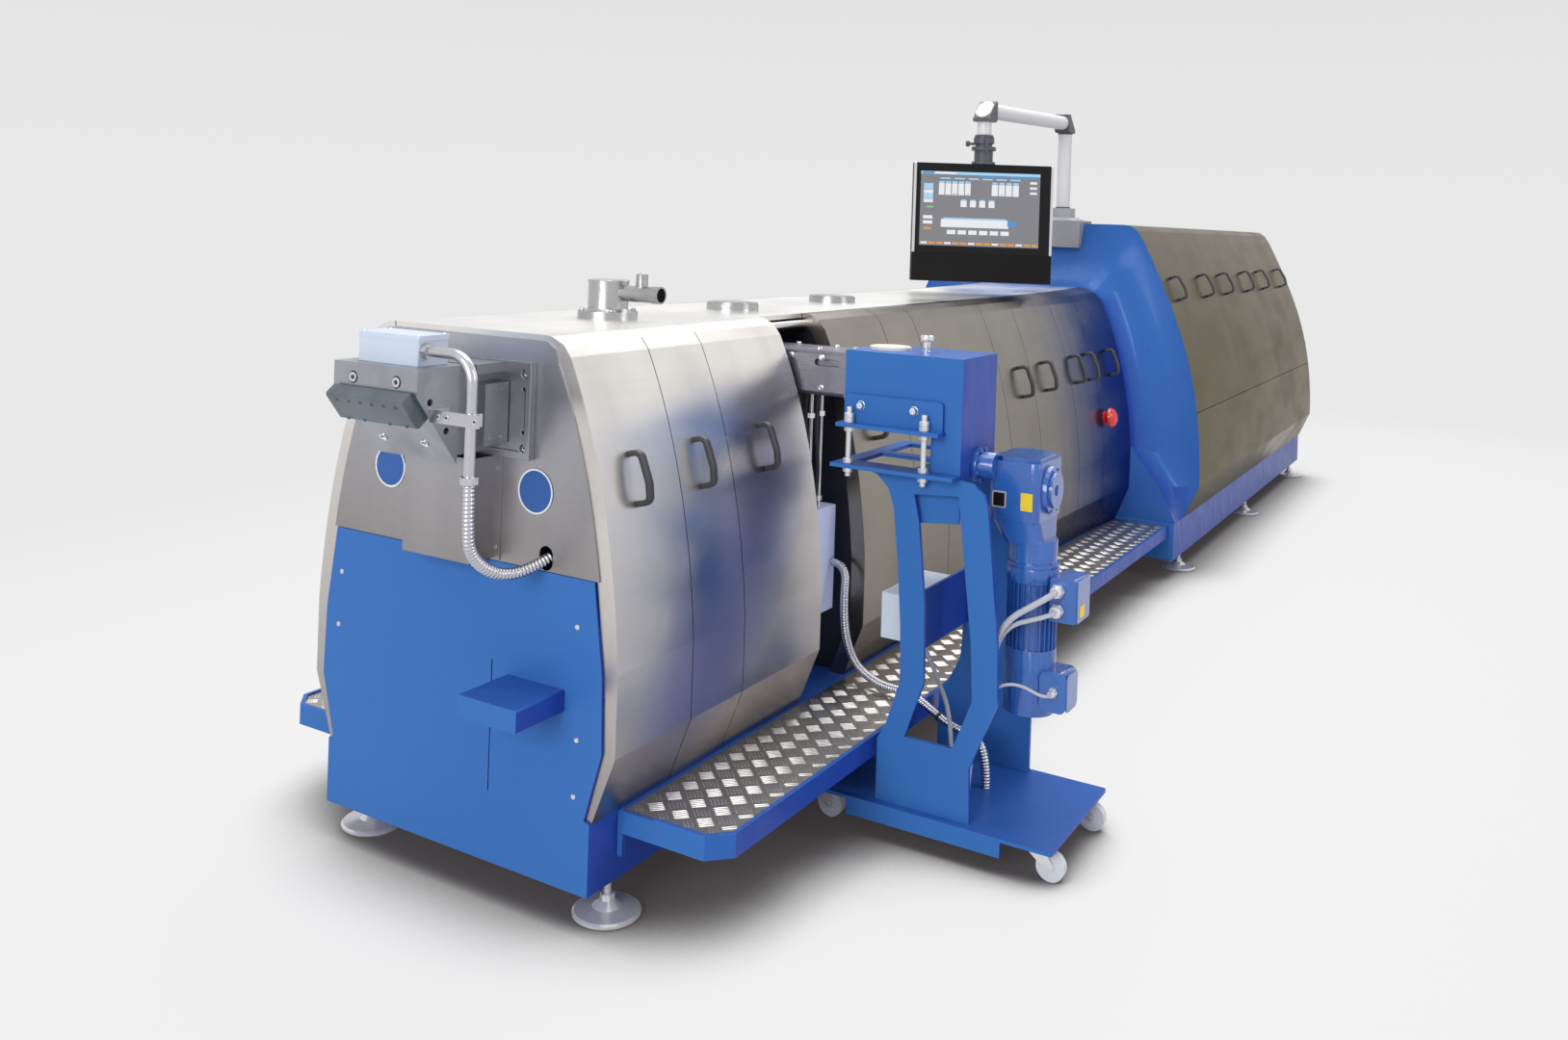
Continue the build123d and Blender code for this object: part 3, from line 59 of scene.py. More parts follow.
# Machine places in mm, as on the drawing: X from the outlet wall, Y from the middle, Z from the floor
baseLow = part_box("machine_base")[0]
baseCorner = (0, -736)
originX, originY = (place - low * 1000 for place, low in zip(baseCorner, baseLow))


def at(x, y, z):
    return Vector(((x - originX) / 1000, (y - originY) / 1000, z / 1000))


# Camera at the photograph's angle
view = {"place": (-2257, -2219, 1600), "heading": 30.86, "roll": 1.90, "lens": 29.66, "shiftDown": 0.18894}
camData = bpy.data.cameras.new("camera")
camData.lens = view["lens"]
camData.sensor_width = 36
camData.shift_y = -view["shiftDown"]
camData.clip_end = 200
camera = bpy.data.objects.new("camera", camData)
camera.matrix_world = (Matrix.Translation(at(*view["place"]))
                       @ Matrix.Rotation(math.radians(view["heading"] - 90), 4, "Z")
                       @ Matrix.Rotation(math.radians(90), 4, "X")
                       @ Matrix.Rotation(math.radians(view["roll"]), 4, "Z"))
bpy.context.scene.collection.objects.link(camera)
bpy.context.scene.camera = camera
bpy.context.scene.view_settings.view_transform = "Standard"
print("camera set")


# Node helpers: a number, colour or vector stands on a node's own socket, and another node's socket is linked to it
def addNode(tree, kind, inputs=None, **settings):
    node = tree.nodes.new("ShaderNode" + kind)
    for key, value in settings.items():
        setattr(node, key, value)
    for key, given in (inputs or {}).items():
        socket = node.inputs[key]
        if isinstance(given, bpy.types.NodeSocket):
            tree.links.new(given, socket)
        else:
            socket.default_value = (*given, 1) if socket.type == "RGBA" else given
    return node


def addMath(tree, kind, a, b):
    return addNode(tree, "Math", {0: a, 1: b}, operation=kind).outputs[0]


def addRange(tree, value, fromMin, fromMax, toMin, toMax, **settings):
    return addNode(tree, "MapRange", {"Value": value, "From Min": fromMin, "From Max": fromMax, "To Min": toMin,
                                      "To Max": toMax}, **settings).outputs[0]


def addSmoothRange(tree, *limits):
    return addRange(tree, *limits, interpolation_type="SMOOTHSTEP")


def addMix(tree, share, a, b, kind="MIX"):
    return addNode(tree, "Mix", {0: share, 6: a, 7: b}, data_type="RGBA", blend_type=kind).outputs[2]


# the colour, darkened by a tint
def addTint(tree, color, tint):
    return addMix(tree, 1.0, color, tint, "MULTIPLY")


def addNoise(tree, stretch, scale, detail=3.0):
    coords = addNode(tree, "TexCoord").outputs["Object"]
    mapping = addNode(tree, "Mapping", {"Vector": coords, "Scale": stretch})
    noise = addNode(tree, "TexNoise", {"Vector": mapping.outputs[0], "Scale": scale, "Detail": detail})
    return noise.outputs["Fac"]


# Studio: pale world, soft lamps and a floor that melts into the background, with a painted pool of light and a painted
# contact shadow round the machine
studio = {"sky": 0.81, "skyTop": 0.70, "skyRise": 0.40, "mirrored": 0.86, "skyColor": (0.97, 0.95, 1.05),
          "skyLight": 0.55, "floor": 0.74, "floorRough": 0.9, "floorShine": 0.1, "floorSize": 160, "bright": 0.90,
          "brightReach": 4.5, "shadowFade": 2.2, "shadowShare": 0.14, "contactReach": 0.42, "contactFrom": 0.30,
          "contactTo": 0.92, "contactShadowTone": (0.035, 0.028, 0.026), "contactSamples": 24}
# each lamp: where it stands, what it points at, its size and power, and its share of diffuse light
lamps = {"keyLamp": ((-14.0, -0.5, 5.0), (-1.5, 0, 0.9), (6.0, 5.0), 640, 1.0),
         "topLamp": ((0.5, 0.5, 6.0), (0.5, 0.5, 0), (9.0, 3.0), 330, 1.0),
         "stripLamp": ((-1.6, -5.2, 3.4), (-1.2, -0.6, 0.9), (0.35, 2.4), 60, 0.0)}


# what the camera sees: the given tone, and the plain mirrored tone in gloss and glass
def pickTone(tree, tone):
    path = addNode(tree, "LightPath").outputs
    pick = addNode(tree, "Mix", {0: path["Is Camera Ray"], 2: studio["mirrored"], 3: tone}).outputs[0]
    lit = addMath(tree, "MAXIMUM", path["Is Camera Ray"], path["Is Glossy Ray"])
    return pick, addMath(tree, "MAXIMUM", lit, path["Is Transmission Ray"])


def makeWorld():
    world = bpy.data.worlds.new("studio")
    bpy.context.scene.world = world
    world.use_nodes = True
    tree = world.node_tree
    tree.nodes.clear()
    rise = addNode(tree, "SeparateXYZ", {0: addNode(tree, "TexCoord").outputs["Generated"]}).outputs["Z"]
    tone, shown = pickTone(tree, addSmoothRange(tree, rise, 0.0, studio["skyRise"], studio["sky"], studio["skyTop"]))
    seen = addNode(tree, "Background", {"Color": tone})
    light = addNode(tree, "Background", {"Color": studio["skyColor"], "Strength": studio["skyLight"]})
    mix = addNode(tree, "MixShader", {0: shown, 1: light.outputs[0], 2: seen.outputs[0]})
    addNode(tree, "OutputWorld", {"Surface": mix.outputs[0]})


def makeLamp(name, place, aim, size, power, diffuse):
    data = bpy.data.lights.new(name, "AREA")
    data.shape = "RECTANGLE"
    data.size, data.size_y = size
    data.energy = power
    data.diffuse_factor = diffuse
    lamp = bpy.data.objects.new(name, data)
    lamp.location = place
    lamp.rotation_euler = (Vector(aim) - Vector(place)).to_track_quat("-Z", "Y").to_euler()
    bpy.context.scene.collection.objects.link(lamp)


def makeFloor():
    mesh = bpy.data.meshes.new("floor")
    half = studio["floorSize"] / 2
    mesh.from_pydata([(-half, -half, 0), (half, -half, 0), (half, half, 0), (-half, half, 0)], [], [(0, 1, 2, 3)])
    floor = bpy.data.objects.new("floor", mesh)
    bpy.context.scene.collection.objects.link(floor)
    mat = bpy.data.materials.new("paleFloor")
    mat.use_nodes = True
    tree = mat.node_tree
    matte = tree.nodes["Principled BSDF"]
    matte.inputs["Base Color"].default_value = (studio["floor"],) * 3 + (1,)
    matte.inputs["Roughness"].default_value = studio["floorRough"]
    matte.inputs["Specular IOR Level"].default_value = studio["floorShine"]
    # distance from the machine's footprint, in metres
    value = addNode(tree, "TexCoord").outputs["Object"]
    half = ((cadBox[1][0] - cadBox[0][0]) / 2, (cadBox[1][1] - cadBox[0][1]) / 2, 0)
    value = addNode(tree, "VectorMath", {0: value}, operation="ABSOLUTE").outputs[0]
    value = addNode(tree, "VectorMath", {0: value, 1: half}, operation="SUBTRACT").outputs[0]
    value = addNode(tree, "VectorMath", {0: value, 1: (0, 0, 0)}, operation="MAXIMUM").outputs[0]
    reach = addNode(tree, "VectorMath", {0: value}, operation="LENGTH").outputs["Value"]
    # painted pool of light: the seen tone is brighter round the machine and fades to the sky's tone
    tone, shown = pickTone(tree, addSmoothRange(tree, reach, 0.0, studio["brightReach"], studio["bright"],
                                                studio["sky"]))
    # painted contact shadow: the seen tone darkens to the contact tone where the machine stands close
    near = addNode(tree, "AmbientOcclusion", {"Distance": studio["contactReach"]}, samples=studio["contactSamples"])
    clear = addSmoothRange(tree, near.outputs["AO"], studio["contactFrom"], studio["contactTo"], 0.0, 1.0)
    glow = addNode(tree, "Emission", {"Color": addMix(tree, clear, studio["contactShadowTone"], tone)})
    # near the machine, a share of the lamps' own shadow
    share = addSmoothRange(tree, reach, 0.0, studio["shadowFade"], 1 - studio["shadowShare"], 1.0)
    share = addMath(tree, "MULTIPLY", share, shown)
    mix = addNode(tree, "MixShader", {0: share, 1: matte.outputs[0], 2: glow.outputs[0]})
    tree.links.new(mix.outputs[0], tree.nodes["Material Output"].inputs["Surface"])
    mesh.materials.append(mat)


makeWorld()
for name, lamp in lamps.items():
    makeLamp(name, *lamp)
makeFloor()
print("studio set")


# Node groups for the finishes: each puts out a colour, a roughness and a height
def startGroup(name, floats, colors):
    group = bpy.data.node_groups.new(name, "ShaderNodeTree")
    for kind, values in (("Color", colors), ("Float", floats)):
        for label, value in values.items():
            socket = group.interface.new_socket(label, in_out="INPUT", socket_type="NodeSocket" + kind)
            socket.default_value = (*value, 1) if kind == "Color" else value
    for label, kind in (("Color", "Color"), ("Roughness", "Float"), ("Height", "Float")):
        group.interface.new_socket(label, in_out="OUTPUT", socket_type="NodeSocket" + kind)
    return group, group.nodes.new("NodeGroupInput").outputs


def finishGroup(group, color, rough, height):
    out = group.nodes.new("NodeGroupOutput")
    for label, value in (("Color", color), ("Roughness", rough), ("Height", height)):
        group.links.new(value, out.inputs[label])
    return group


def makePaintGroup():
    tree, given = startGroup("paintCoat", {"Peel": 600.0, "Drift": 0.12, "Rough": 0.34, "Turn": 0.0},
                             {"Tone": (0.05, 0.16, 0.47), "Shade": (0.03, 0.09, 0.34)})
    cloud = addRange(tree, addNoise(tree, (1, 1, 1), 2.3, 4.0), 0.35, 0.7, 0.0, 1.0)
    color = addMix(tree, addMath(tree, "MULTIPLY", cloud, given["Drift"]), given["Tone"], given["Shade"])
    # faces that look away from the key lamp take the shade
    normal = addNode(tree, "NewGeometry").outputs["Normal"]
    facing = addNode(tree, "VectorMath", {0: normal, 1: (-0.85, 0.0, 0.53)}, operation="DOT_PRODUCT")
    away = addRange(tree, facing.outputs["Value"], 0.2, 0.8, 1.0, 0.0)
    color = addMix(tree, addMath(tree, "MULTIPLY", away, given["Turn"]), color, given["Shade"])
    smear = addNoise(tree, (9, 9, 3), 3.0, 5.0)
    rough = addMath(tree, "ADD", given["Rough"], addRange(tree, smear, 0.3, 0.7, -0.06, 0.09))
    return finishGroup(tree, color, rough, addNoise(tree, (1, 1, 1), given["Peel"], 2.0))


# leaning oval on the covers, X in mm and the rest in metres
def addOval(tree, split, spot):
    lean = addMath(tree, "MULTIPLY", addMath(tree, "SUBTRACT", split["Z"], spot["leanZ"]), spot["lean"])
    along = addMath(tree, "SUBTRACT", addMath(tree, "SUBTRACT", split["X"], at(spot["x"], 0, 0).x), lean)
    along = addMath(tree, "DIVIDE", along, spot["wide"])
    across = addMath(tree, "DIVIDE", addMath(tree, "SUBTRACT", split["Z"], spot["z"]), spot["high"])
    far = addMath(tree, "ADD", addMath(tree, "MULTIPLY", along, along), addMath(tree, "MULTIPLY", across, across))
    return addRange(tree, far, 0.0, 1.5, 1.0, 0.0)


# painted reflections: a blue reflection low on the first covers, a dark mirror image high on the third, and the cove's
# blue mirrored in the far covers
sheet = {"stain": {"x": 430, "leanZ": 0.62, "lean": 0.8, "wide": 0.24, "z": 0.66, "high": 0.40},
         "image": {"x": 705, "leanZ": 1.00, "lean": 0.25, "wide": 0.17, "z": 0.98, "high": 0.19},
         "imageTint": (0.42, 0.41, 0.47), "farFrom": 2950, "farTo": 3800, "farFade": (1.05, 1.30, 1.0, 0.35),
         "streakTint": (0.42, 0.41, 0.44), "grainTint": (0.62, 0.61, 0.6)}


def makeSteelGroup():
    tree, given = startGroup("brushedSheet", {"Low": 0.28, "High": 1.25, "Cloud": 0.35, "Rough": 0.27, "Stain": 0.0,
                                              "Far": 0.0},
                             {"Top Tone": (0.7, 0.69, 0.66), "Low Tone": (0.42, 0.40, 0.37),
                              "Stain Tone": (0.16, 0.18, 0.42)})
    split = addNode(tree, "SeparateXYZ", {0: addNode(tree, "TexCoord").outputs["Object"]}).outputs
    # painted light: the sheet lighter towards the top and darker low down
    rise = addRange(tree, split["Z"], given["Low"], given["High"], 0.0, 1.0)
    color = addMix(tree, rise, given["Low Tone"], given["Top Tone"])
    # painted reflection: soft dark mirror streaks that run down the sheet
    streak = addRange(tree, addNoise(tree, (5.0, 5.0, 0.8), 1.0), 0.38, 0.68, 0.0, 1.0)
    color = addMix(tree, addMath(tree, "MULTIPLY", streak, given["Cloud"]), color,
                   addTint(tree, color, sheet["streakTint"]))
    # painted reflections: the blue oval low on the covers and the dark mirror image high on the third
    stain = addMath(tree, "MULTIPLY", addOval(tree, split, sheet["stain"]), given["Stain"])
    color = addMix(tree, stain, color, given["Stain Tone"])
    image = addMath(tree, "MULTIPLY", addOval(tree, split, sheet["image"]), given["Stain"])
    color = addMix(tree, image, color, addTint(tree, color, sheet["imageTint"]))
    # painted reflection: the cove's blue mirrored in the far covers
    far = addRange(tree, split["X"], at(sheet["farFrom"], 0, 0).x, at(sheet["farTo"], 0, 0).x, 0.0, 1.0)
    far = addMath(tree, "MULTIPLY", far, addRange(tree, split["Z"], *sheet["farFade"]))
    color = addMix(tree, addMath(tree, "MULTIPLY", far, given["Far"]), color, given["Stain Tone"])
    # fine brushing
    grain = addNoise(tree, (1.2, 45.0, 60.0), 1.0, 1.0)
    color = addMix(tree, addRange(tree, grain, 0.3, 0.75, 0.0, 0.07), color, addTint(tree, color, sheet["grainTint"]))
    smear = addNoise(tree, (2.0, 2.0, 5.0), 1.4, 1.5)
    rough = addMath(tree, "ADD", given["Rough"], addRange(tree, smear, 0.3, 0.7, -0.06, 0.08))
    return finishGroup(tree, color, rough, grain)


def makeBlockGroup():
    tree, given = startGroup("machinedBlock", {"Marks": 90.0, "Tarnish": 0.5, "Rough": 0.3},
                             {"Tone": (0.5, 0.5, 0.5), "Stain Tone": (0.25, 0.23, 0.22)})
    patch = addNoise(tree, (1, 1, 1), 9.0, 6.0)
    stained = addMath(tree, "MULTIPLY", addRange(tree, patch, 0.42, 0.66, 0.0, 1.0), given["Tarnish"])
    color = addMix(tree, stained, given["Tone"], given["Stain Tone"])
    marks = addNoise(tree, (1.0, 1.0, 14.0), given["Marks"], 2.0)
    color = addMix(tree, addRange(tree, marks, 0.35, 0.7, 0.0, 0.25), color, addTint(tree, color, (0.6, 0.6, 0.6)))
    uneven = addMath(tree, "MULTIPLY", addRange(tree, patch, 0.3, 0.7, -0.05, 0.12), given["Tarnish"])
    return finishGroup(tree, color, addMath(tree, "ADD", given["Rough"], uneven), marks)


def makeMouldGroup():
    tree, given = startGroup("mouldedGrain", {"Grain": 1400.0, "Dust": 0.15, "Rough": 0.45},
                             {"Tone": (0.05, 0.05, 0.05), "Dust Tone": (0.2, 0.2, 0.2)})
    dust = addNoise(tree, (1, 1, 1), 14.0, 5.0)
    share = addMath(tree, "MULTIPLY", addRange(tree, dust, 0.45, 0.75, 0.0, 1.0), given["Dust"])
    color = addMix(tree, share, given["Tone"], given["Dust Tone"])
    rough = addMath(tree, "ADD", given["Rough"], addRange(tree, dust, 0.3, 0.7, -0.04, 0.08))
    return finishGroup(tree, color, rough, addNoise(tree, (1, 1, 1), given["Grain"], 2.0))


groups = {"paint": makePaintGroup(), "steel": makeSteelGroup(), "block": makeBlockGroup(), "mould": makeMouldGroup()}

# Finishes by node group: its colours and numbers, metal, bump, coat, gloss and the record's slot
always = {"paint": {"metal": 0.0}, "steel": {"metal": 1.0, "bump": 0.00001}, "block": {"metal": 1.0},
          "mould": {"metal": 0.0}}
finishes = {
    "paint": {
        "bluePaint": dict(Tone=(0.042, 0.160, 0.450), Shade=(0.020, 0.056, 0.35), Drift=0.06, Turn=0.95, Rough=0.36,
            bump=0.0003, coat=0.06, edge=(0.22, 0.40, 0.95), shine=0.22, slot="blue_paint"),
        # painted shade: a darker, more violet copy of the blue paint for the cove, which lies in shade
        "coveBlue": dict(Tone=(0.036, 0.130, 0.40), Shade=(0.017, 0.044, 0.31), Drift=0.15, Turn=0.95, Rough=0.30,
            bump=0.0003, coat=0.10, edge=(0.22, 0.40, 0.95), shine=0.28, slot="blue_paint"),
        "glossBlue": dict(Tone=(0.028, 0.135, 0.44), Shade=(0.012, 0.055, 0.33), Drift=0.5, Turn=0.7, Rough=0.16,
            Peel=200.0, bump=0.0012, coat=0.8, shine=0.4, slot="blue_paint"),
        # painted light: the cabinet enamel lighter and bluer than the grey enamel, with a faint glow, for the light on
        # it in the gap
        "cabinetEnamel": dict(Tone=(0.66, 0.72, 0.86), Shade=(0.58, 0.64, 0.78), Drift=0.5, Rough=0.38, bump=0.0003,
            glow=(0.085, 0.098, 0.17), slot="grey_enamel"),
        "greyEnamel": dict(Tone=(0.60, 0.68, 0.78), Shade=(0.52, 0.60, 0.70), Drift=0.5, Rough=0.38, bump=0.0004,
            slot="grey_enamel"),
        "signBlue": dict(Tone=(0.015, 0.10, 0.36), Shade=(0.012, 0.085, 0.31), Drift=0.4, Rough=0.35, bump=0.0001,
            slot="sign_blue"),
        "signWhite": dict(Tone=(0.82, 0.83, 0.84), Shade=(0.76, 0.77, 0.78), Drift=0.4, Rough=0.4, bump=0.0001,
            slot="sign_blue"),
        "stopRed": dict(Tone=(0.62, 0.020, 0.008), Shade=(0.48, 0.012, 0.006), Drift=0.4, Rough=0.24, bump=0.0002,
            coat=0.5, slot="stop_red"),
        "armGrey": dict(Tone=(0.66, 0.66, 0.65), Shade=(0.58, 0.58, 0.58), Drift=0.5, Rough=0.36, bump=0.0003,
            slot="arm_grey"),
        "collarGrey": dict(Tone=(0.34, 0.35, 0.36), Shade=(0.26, 0.27, 0.28), Drift=0.6, Rough=0.36, bump=0.0003,
            slot="arm_grey"),
        "labelYellow": dict(Tone=(0.85, 0.62, 0.02), Shade=(0.74, 0.52, 0.02), Drift=0.4, Rough=0.45, bump=0.0001,
            slot="blue_paint"),
        "discCream": dict(Tone=(0.80, 0.76, 0.62), Shade=(0.70, 0.66, 0.53), Drift=0.5, Rough=0.35, bump=0.0003,
            slot="zinc_plated"),
    },
    "steel": {
        "coverSteel": dict(Top_Tone=(0.90, 0.87, 0.83), Low_Tone=(0.42, 0.39, 0.38), Stain=0.72, Cloud=0.28, Rough=0.31,
            slot="cover_steel"),
        "topSteel": dict(Top_Tone=(0.86, 0.85, 0.82), Low_Tone=(0.8, 0.8, 0.78), Cloud=0.12, Rough=0.30,
            slot="cover_steel"),
        "warmSteel": dict(Top_Tone=(0.40, 0.375, 0.32), Low_Tone=(0.25, 0.225, 0.175), Cloud=0.16, Far=0.88,
            Stain_Tone=(0.055, 0.10, 0.36), edge=(0.62, 0.62, 0.68), Rough=0.24, slot="cover_steel"),
        "doorSteel": dict(Top_Tone=(0.250, 0.245, 0.222), Low_Tone=(0.150, 0.134, 0.104), Low=1.0, High=1.55,
            Cloud=0.12, edge=(0.60, 0.57, 0.51), Rough=0.22, slot="cover_steel"),
        "wallSteel": dict(Top_Tone=(0.52, 0.53, 0.58), Low_Tone=(0.36, 0.34, 0.345), Low=0.80, High=1.3, Cloud=0.2,
            Rough=0.34, slot="wall_steel"),
    },
    "block": {
        "machinedSteel": dict(Tone=(0.50, 0.50, 0.51), Stain_Tone=(0.27, 0.26, 0.26), Rough=0.27, bump=0.0003,
            slot="machined_steel"),
        "adapterSteel": dict(Tone=(0.42, 0.43, 0.47), Stain_Tone=(0.27, 0.27, 0.29), Rough=0.32, bump=0.0004,
            slot="machined_steel"),
        "castGrey": dict(Tone=(0.24, 0.24, 0.28), Stain_Tone=(0.13, 0.13, 0.17), Rough=0.34, metal=0.85, Marks=50.0,
            bump=0.0012, slot="machined_steel"),
        "dieSteel": dict(Tone=(0.170, 0.205, 0.235), Stain_Tone=(0.10, 0.12, 0.135), Rough=0.38, metal=0.7, bump=0.0005,
            slot="die_steel"),
        "checkerPlate": dict(Tone=(0.46, 0.435, 0.40), Stain_Tone=(0.34, 0.32, 0.30), Rough=0.36, bump=0.0003,
            slot="checker_plate"),
        "checkerLugs": dict(Tone=(0.62, 0.60, 0.57), Stain_Tone=(0.48, 0.46, 0.44), Rough=0.36, bump=0.0001,
            slot="checker_plate"),
        "zincPlated": dict(Tone=(0.76, 0.76, 0.78), Stain_Tone=(0.58, 0.58, 0.60), Rough=0.20, Tarnish=0.3,
            bump=0.00005, slot="zinc_plated"),
        "tubeSteel": dict(Tone=(0.60, 0.60, 0.64), Stain_Tone=(0.50, 0.50, 0.54), Rough=0.25, Tarnish=0.1, bump=0.00002,
            slot="zinc_plated"),
        "brightNickel": dict(Tone=(0.80, 0.80, 0.80), Stain_Tone=(0.66, 0.66, 0.67), Rough=0.24, metal=0.45,
            Tarnish=0.3, bump=0.00005, slot="zinc_plated"),
    },
    "mould": {
        # painted shade: near black for the shade inside the machine and in the screw wells
        "darkInside": dict(Tone=(0.010, 0.010, 0.018), Dust_Tone=(0.03, 0.03, 0.05), Rough=0.5, bump=0.0004,
            slot="dark_inside"),
        "handleBlack": dict(Tone=(0.030, 0.029, 0.034), Dust_Tone=(0.10, 0.10, 0.10), Rough=0.40, bump=0.0004,
            slot="handle_black"),
        "elbowGrey": dict(Tone=(0.060, 0.066, 0.078), Dust_Tone=(0.12, 0.12, 0.13), Rough=0.42, bump=0.0004,
            slot="elbow_grey"),
        "blackPaint": dict(Tone=(0.006, 0.005, 0.005), Dust_Tone=(0.014, 0.013, 0.013), Rough=0.50, shine=0.14,
            bump=0.0002, slot="black_housing"),
        "screenGlass": dict(Tone=(0.004, 0.004, 0.005), Dust_Tone=(0.008, 0.008, 0.009), Rough=0.12, Dust=0.05,
            shine=0.25, bump=0.00002, slot="screen_glass"),
        "wheelGrey": dict(Tone=(0.66, 0.68, 0.72), Dust_Tone=(0.36, 0.37, 0.40), Rough=0.42, Dust=0.4, bump=0.0005,
            slot="wheel_grey"),
        "cableGrey": dict(Tone=(0.46, 0.48, 0.52), Dust_Tone=(0.34, 0.35, 0.38), Rough=0.40, bump=0.0002,
            slot="cable_grey"),
    },
}
finishes = {name: {"group": kind, **always[kind], **look} for kind, looks in finishes.items()
            for name, look in looks.items()}
materials = {}
for name, look in finishes.items():
    mat = bpy.data.materials.new(name)
    mat.use_nodes = True
    tree = mat.node_tree
    shader = tree.nodes["Principled BSDF"].inputs
    values = {key.replace("_", " "): value for key, value in look.items() if key[0].isupper()}
    texture = addNode(tree, "Group", values, node_tree=groups[look["group"]]).outputs
    bump = addNode(tree, "Bump", {"Height": texture["Height"], "Distance": look["bump"], "Strength": 0.6})
    tree.links.new(texture["Color"], shader["Base Color"])
    tree.links.new(texture["Roughness"], shader["Roughness"])
    tree.links.new(bump.outputs[0], shader["Normal"])
    shader["Metallic"].default_value = look["metal"]
    shader["Coat Weight"].default_value = look.get("coat", 0.0)
    shader["Coat Roughness"].default_value = 0.12
    shader["Specular IOR Level"].default_value = look.get("shine", 0.5)
    shader["Specular Tint"].default_value = (*look.get("edge", (1, 1, 1)), 1)
    shader["Emission Color"].default_value = (*look.get("glow", (0, 0, 0)), 1)
    shader["Emission Strength"].default_value = 1.0 if "glow" in look else 0.0
    materials[name] = mat
print("finishes made:", len(materials))

# CAD nodes by finish
finishNodes = {
    "bluePaint": ("machine_base", "front_panel", "coupling_stub", "step_frames", "feeder_gearbox", "feeder_bracket",
        "feeder_stand"),
    "wallSteel": ("front_wall", "outlet_shield"),
    "darkInside": ("inner_body",),
    "coverSteel": ("front_covers",),
    "topSteel": ("top_plate",),
    "warmSteel": ("mid_covers",),
    "coveBlue": ("blue_cover",),
    "doorSteel": ("rear_covers", "rear_roof", "rear_wall"),
    "handleBlack": ("bow_handles",),
    "checkerPlate": ("step_treads",),
    "brightNickel": ("levelling_feet", "caster_forks"),
    "machinedSteel": ("vent_stack", "blank_flanges"),
    "adapterSteel": ("outlet_flange", "die_adapter", "die_block"),
    "dieSteel": ("die_plate",),
    "greyEnamel": ("heater_box", "feeder_box"),
    "tubeSteel": ("conduit_pipe",),
    "zincPlated": ("conduit_hose", "gap_tubes", "feeder_hose"),
    "signBlue": ("sign_discs",),
    "castGrey": ("barrel_section", "side_barrel"),
    "cabinetEnamel": ("gap_cabinet",),
    "stopRed": ("emergency_stop",),
    "collarGrey": ("arm_pedestal",),
    "armGrey": ("arm_tubes",),
    "elbowGrey": ("arm_elbows", "panel_coupling"),
    "blackPaint": ("screen_housing", "operating_box"),
    "screenGlass": ("screen_glass",),
    "wheelGrey": ("caster_wheels",),
    "glossBlue": ("bevel_unit", "drive_motor"),
    "cableGrey": ("feeder_cables",),
}
for finish, names in finishNodes.items():
    for name in names:
        nodes[name].data.materials.clear()
        nodes[name].data.materials.append(materials[finish])

# Soft edges on the boxy pieces, by width in mm
edgeLook = {"weld": 0.00002, "segments": 2, "angle": 40}
softEdges = {
    1.0: ("outlet_shield",),
    1.2: ("feeder_bracket", "feeder_stand", "outlet_flange", "die_plate"),
    1.4: ("die_adapter",),
    1.5: ("screen_housing", "operating_box"),
    1.6: ("drive_motor", "die_block", "side_barrel"),
    2.0: ("feeder_box", "step_frames", "coupling_stub", "gap_cabinet", "barrel_section", "arm_elbows", "arm_pedestal"),
    2.2: ("bevel_unit",),
    2.5: ("machine_base", "heater_box"),
    3.0: ("feeder_gearbox",),
}
for width, names in softEdges.items():
    for name in names:
        nodes[name].modifiers.new("weld", "WELD").merge_threshold = edgeLook["weld"]
        soft = nodes[name].modifiers.new("soft", "BEVEL")
        soft.width = width / 1000
        soft.segments = edgeLook["segments"]
        soft.limit_method = "ANGLE"
        soft.angle_limit = math.radians(edgeLook["angle"])
        soft.use_clamp_overlap = True
        soft.harden_normals = True


# Mesh helpers: every shape is drawn in mm on a seat, which is a plane on the machine
def seatAt(x, y, z, out, up=(0, 0, 1)):
    out = Vector(out).normalized()
    up = Vector(up)
    side = up.cross(out)
    if side.length < 1e-4:
        side = Vector((1, 0, 0)) if abs(out.x) < 0.9 else Vector((0, 1, 0))
        side = (side - out * side.dot(out))
    side.normalize()
    up = out.cross(side)
    place = at(x, y, z)
    return Matrix(((side.x / 1000, up.x / 1000, out.x / 1000, place.x),
                   (side.y / 1000, up.y / 1000, out.y / 1000, place.y),
                   (side.z / 1000, up.z / 1000, out.z / 1000, place.z), (0, 0, 0, 1)))


def addLathe(bm, seat, profile, steps):
    rings = []
    for r, h in profile:
        turns = [2 * math.pi * i / steps for i in range(steps)] if r else [0]
        rings.append([bm.verts.new(seat @ Vector((r * math.cos(a), r * math.sin(a), h))) for a in turns])
    for low, high in zip(rings, rings[1:]):
        for i in range(steps):
            j = (i + 1) % steps
            corners = []
            for v in (low[i % len(low)], low[j % len(low)], high[j % len(high)], high[i % len(high)]):
                if v not in corners:
                    corners.append(v)
            if len(corners) > 2:
                bm.faces.new(corners)


# rings of points joined into a skin, closed at its ends; foot=False leaves the first end open
def joinRings(bm, rings, foot=True):
    for a, b in zip(rings, rings[1:]):
        for i in range(len(a)):
            j = (i + 1) % len(a)
            bm.faces.new((a[i], a[j], b[j], b[i]))
    if foot:
        bm.faces.new(list(reversed(rings[0])))
    bm.faces.new(rings[-1])


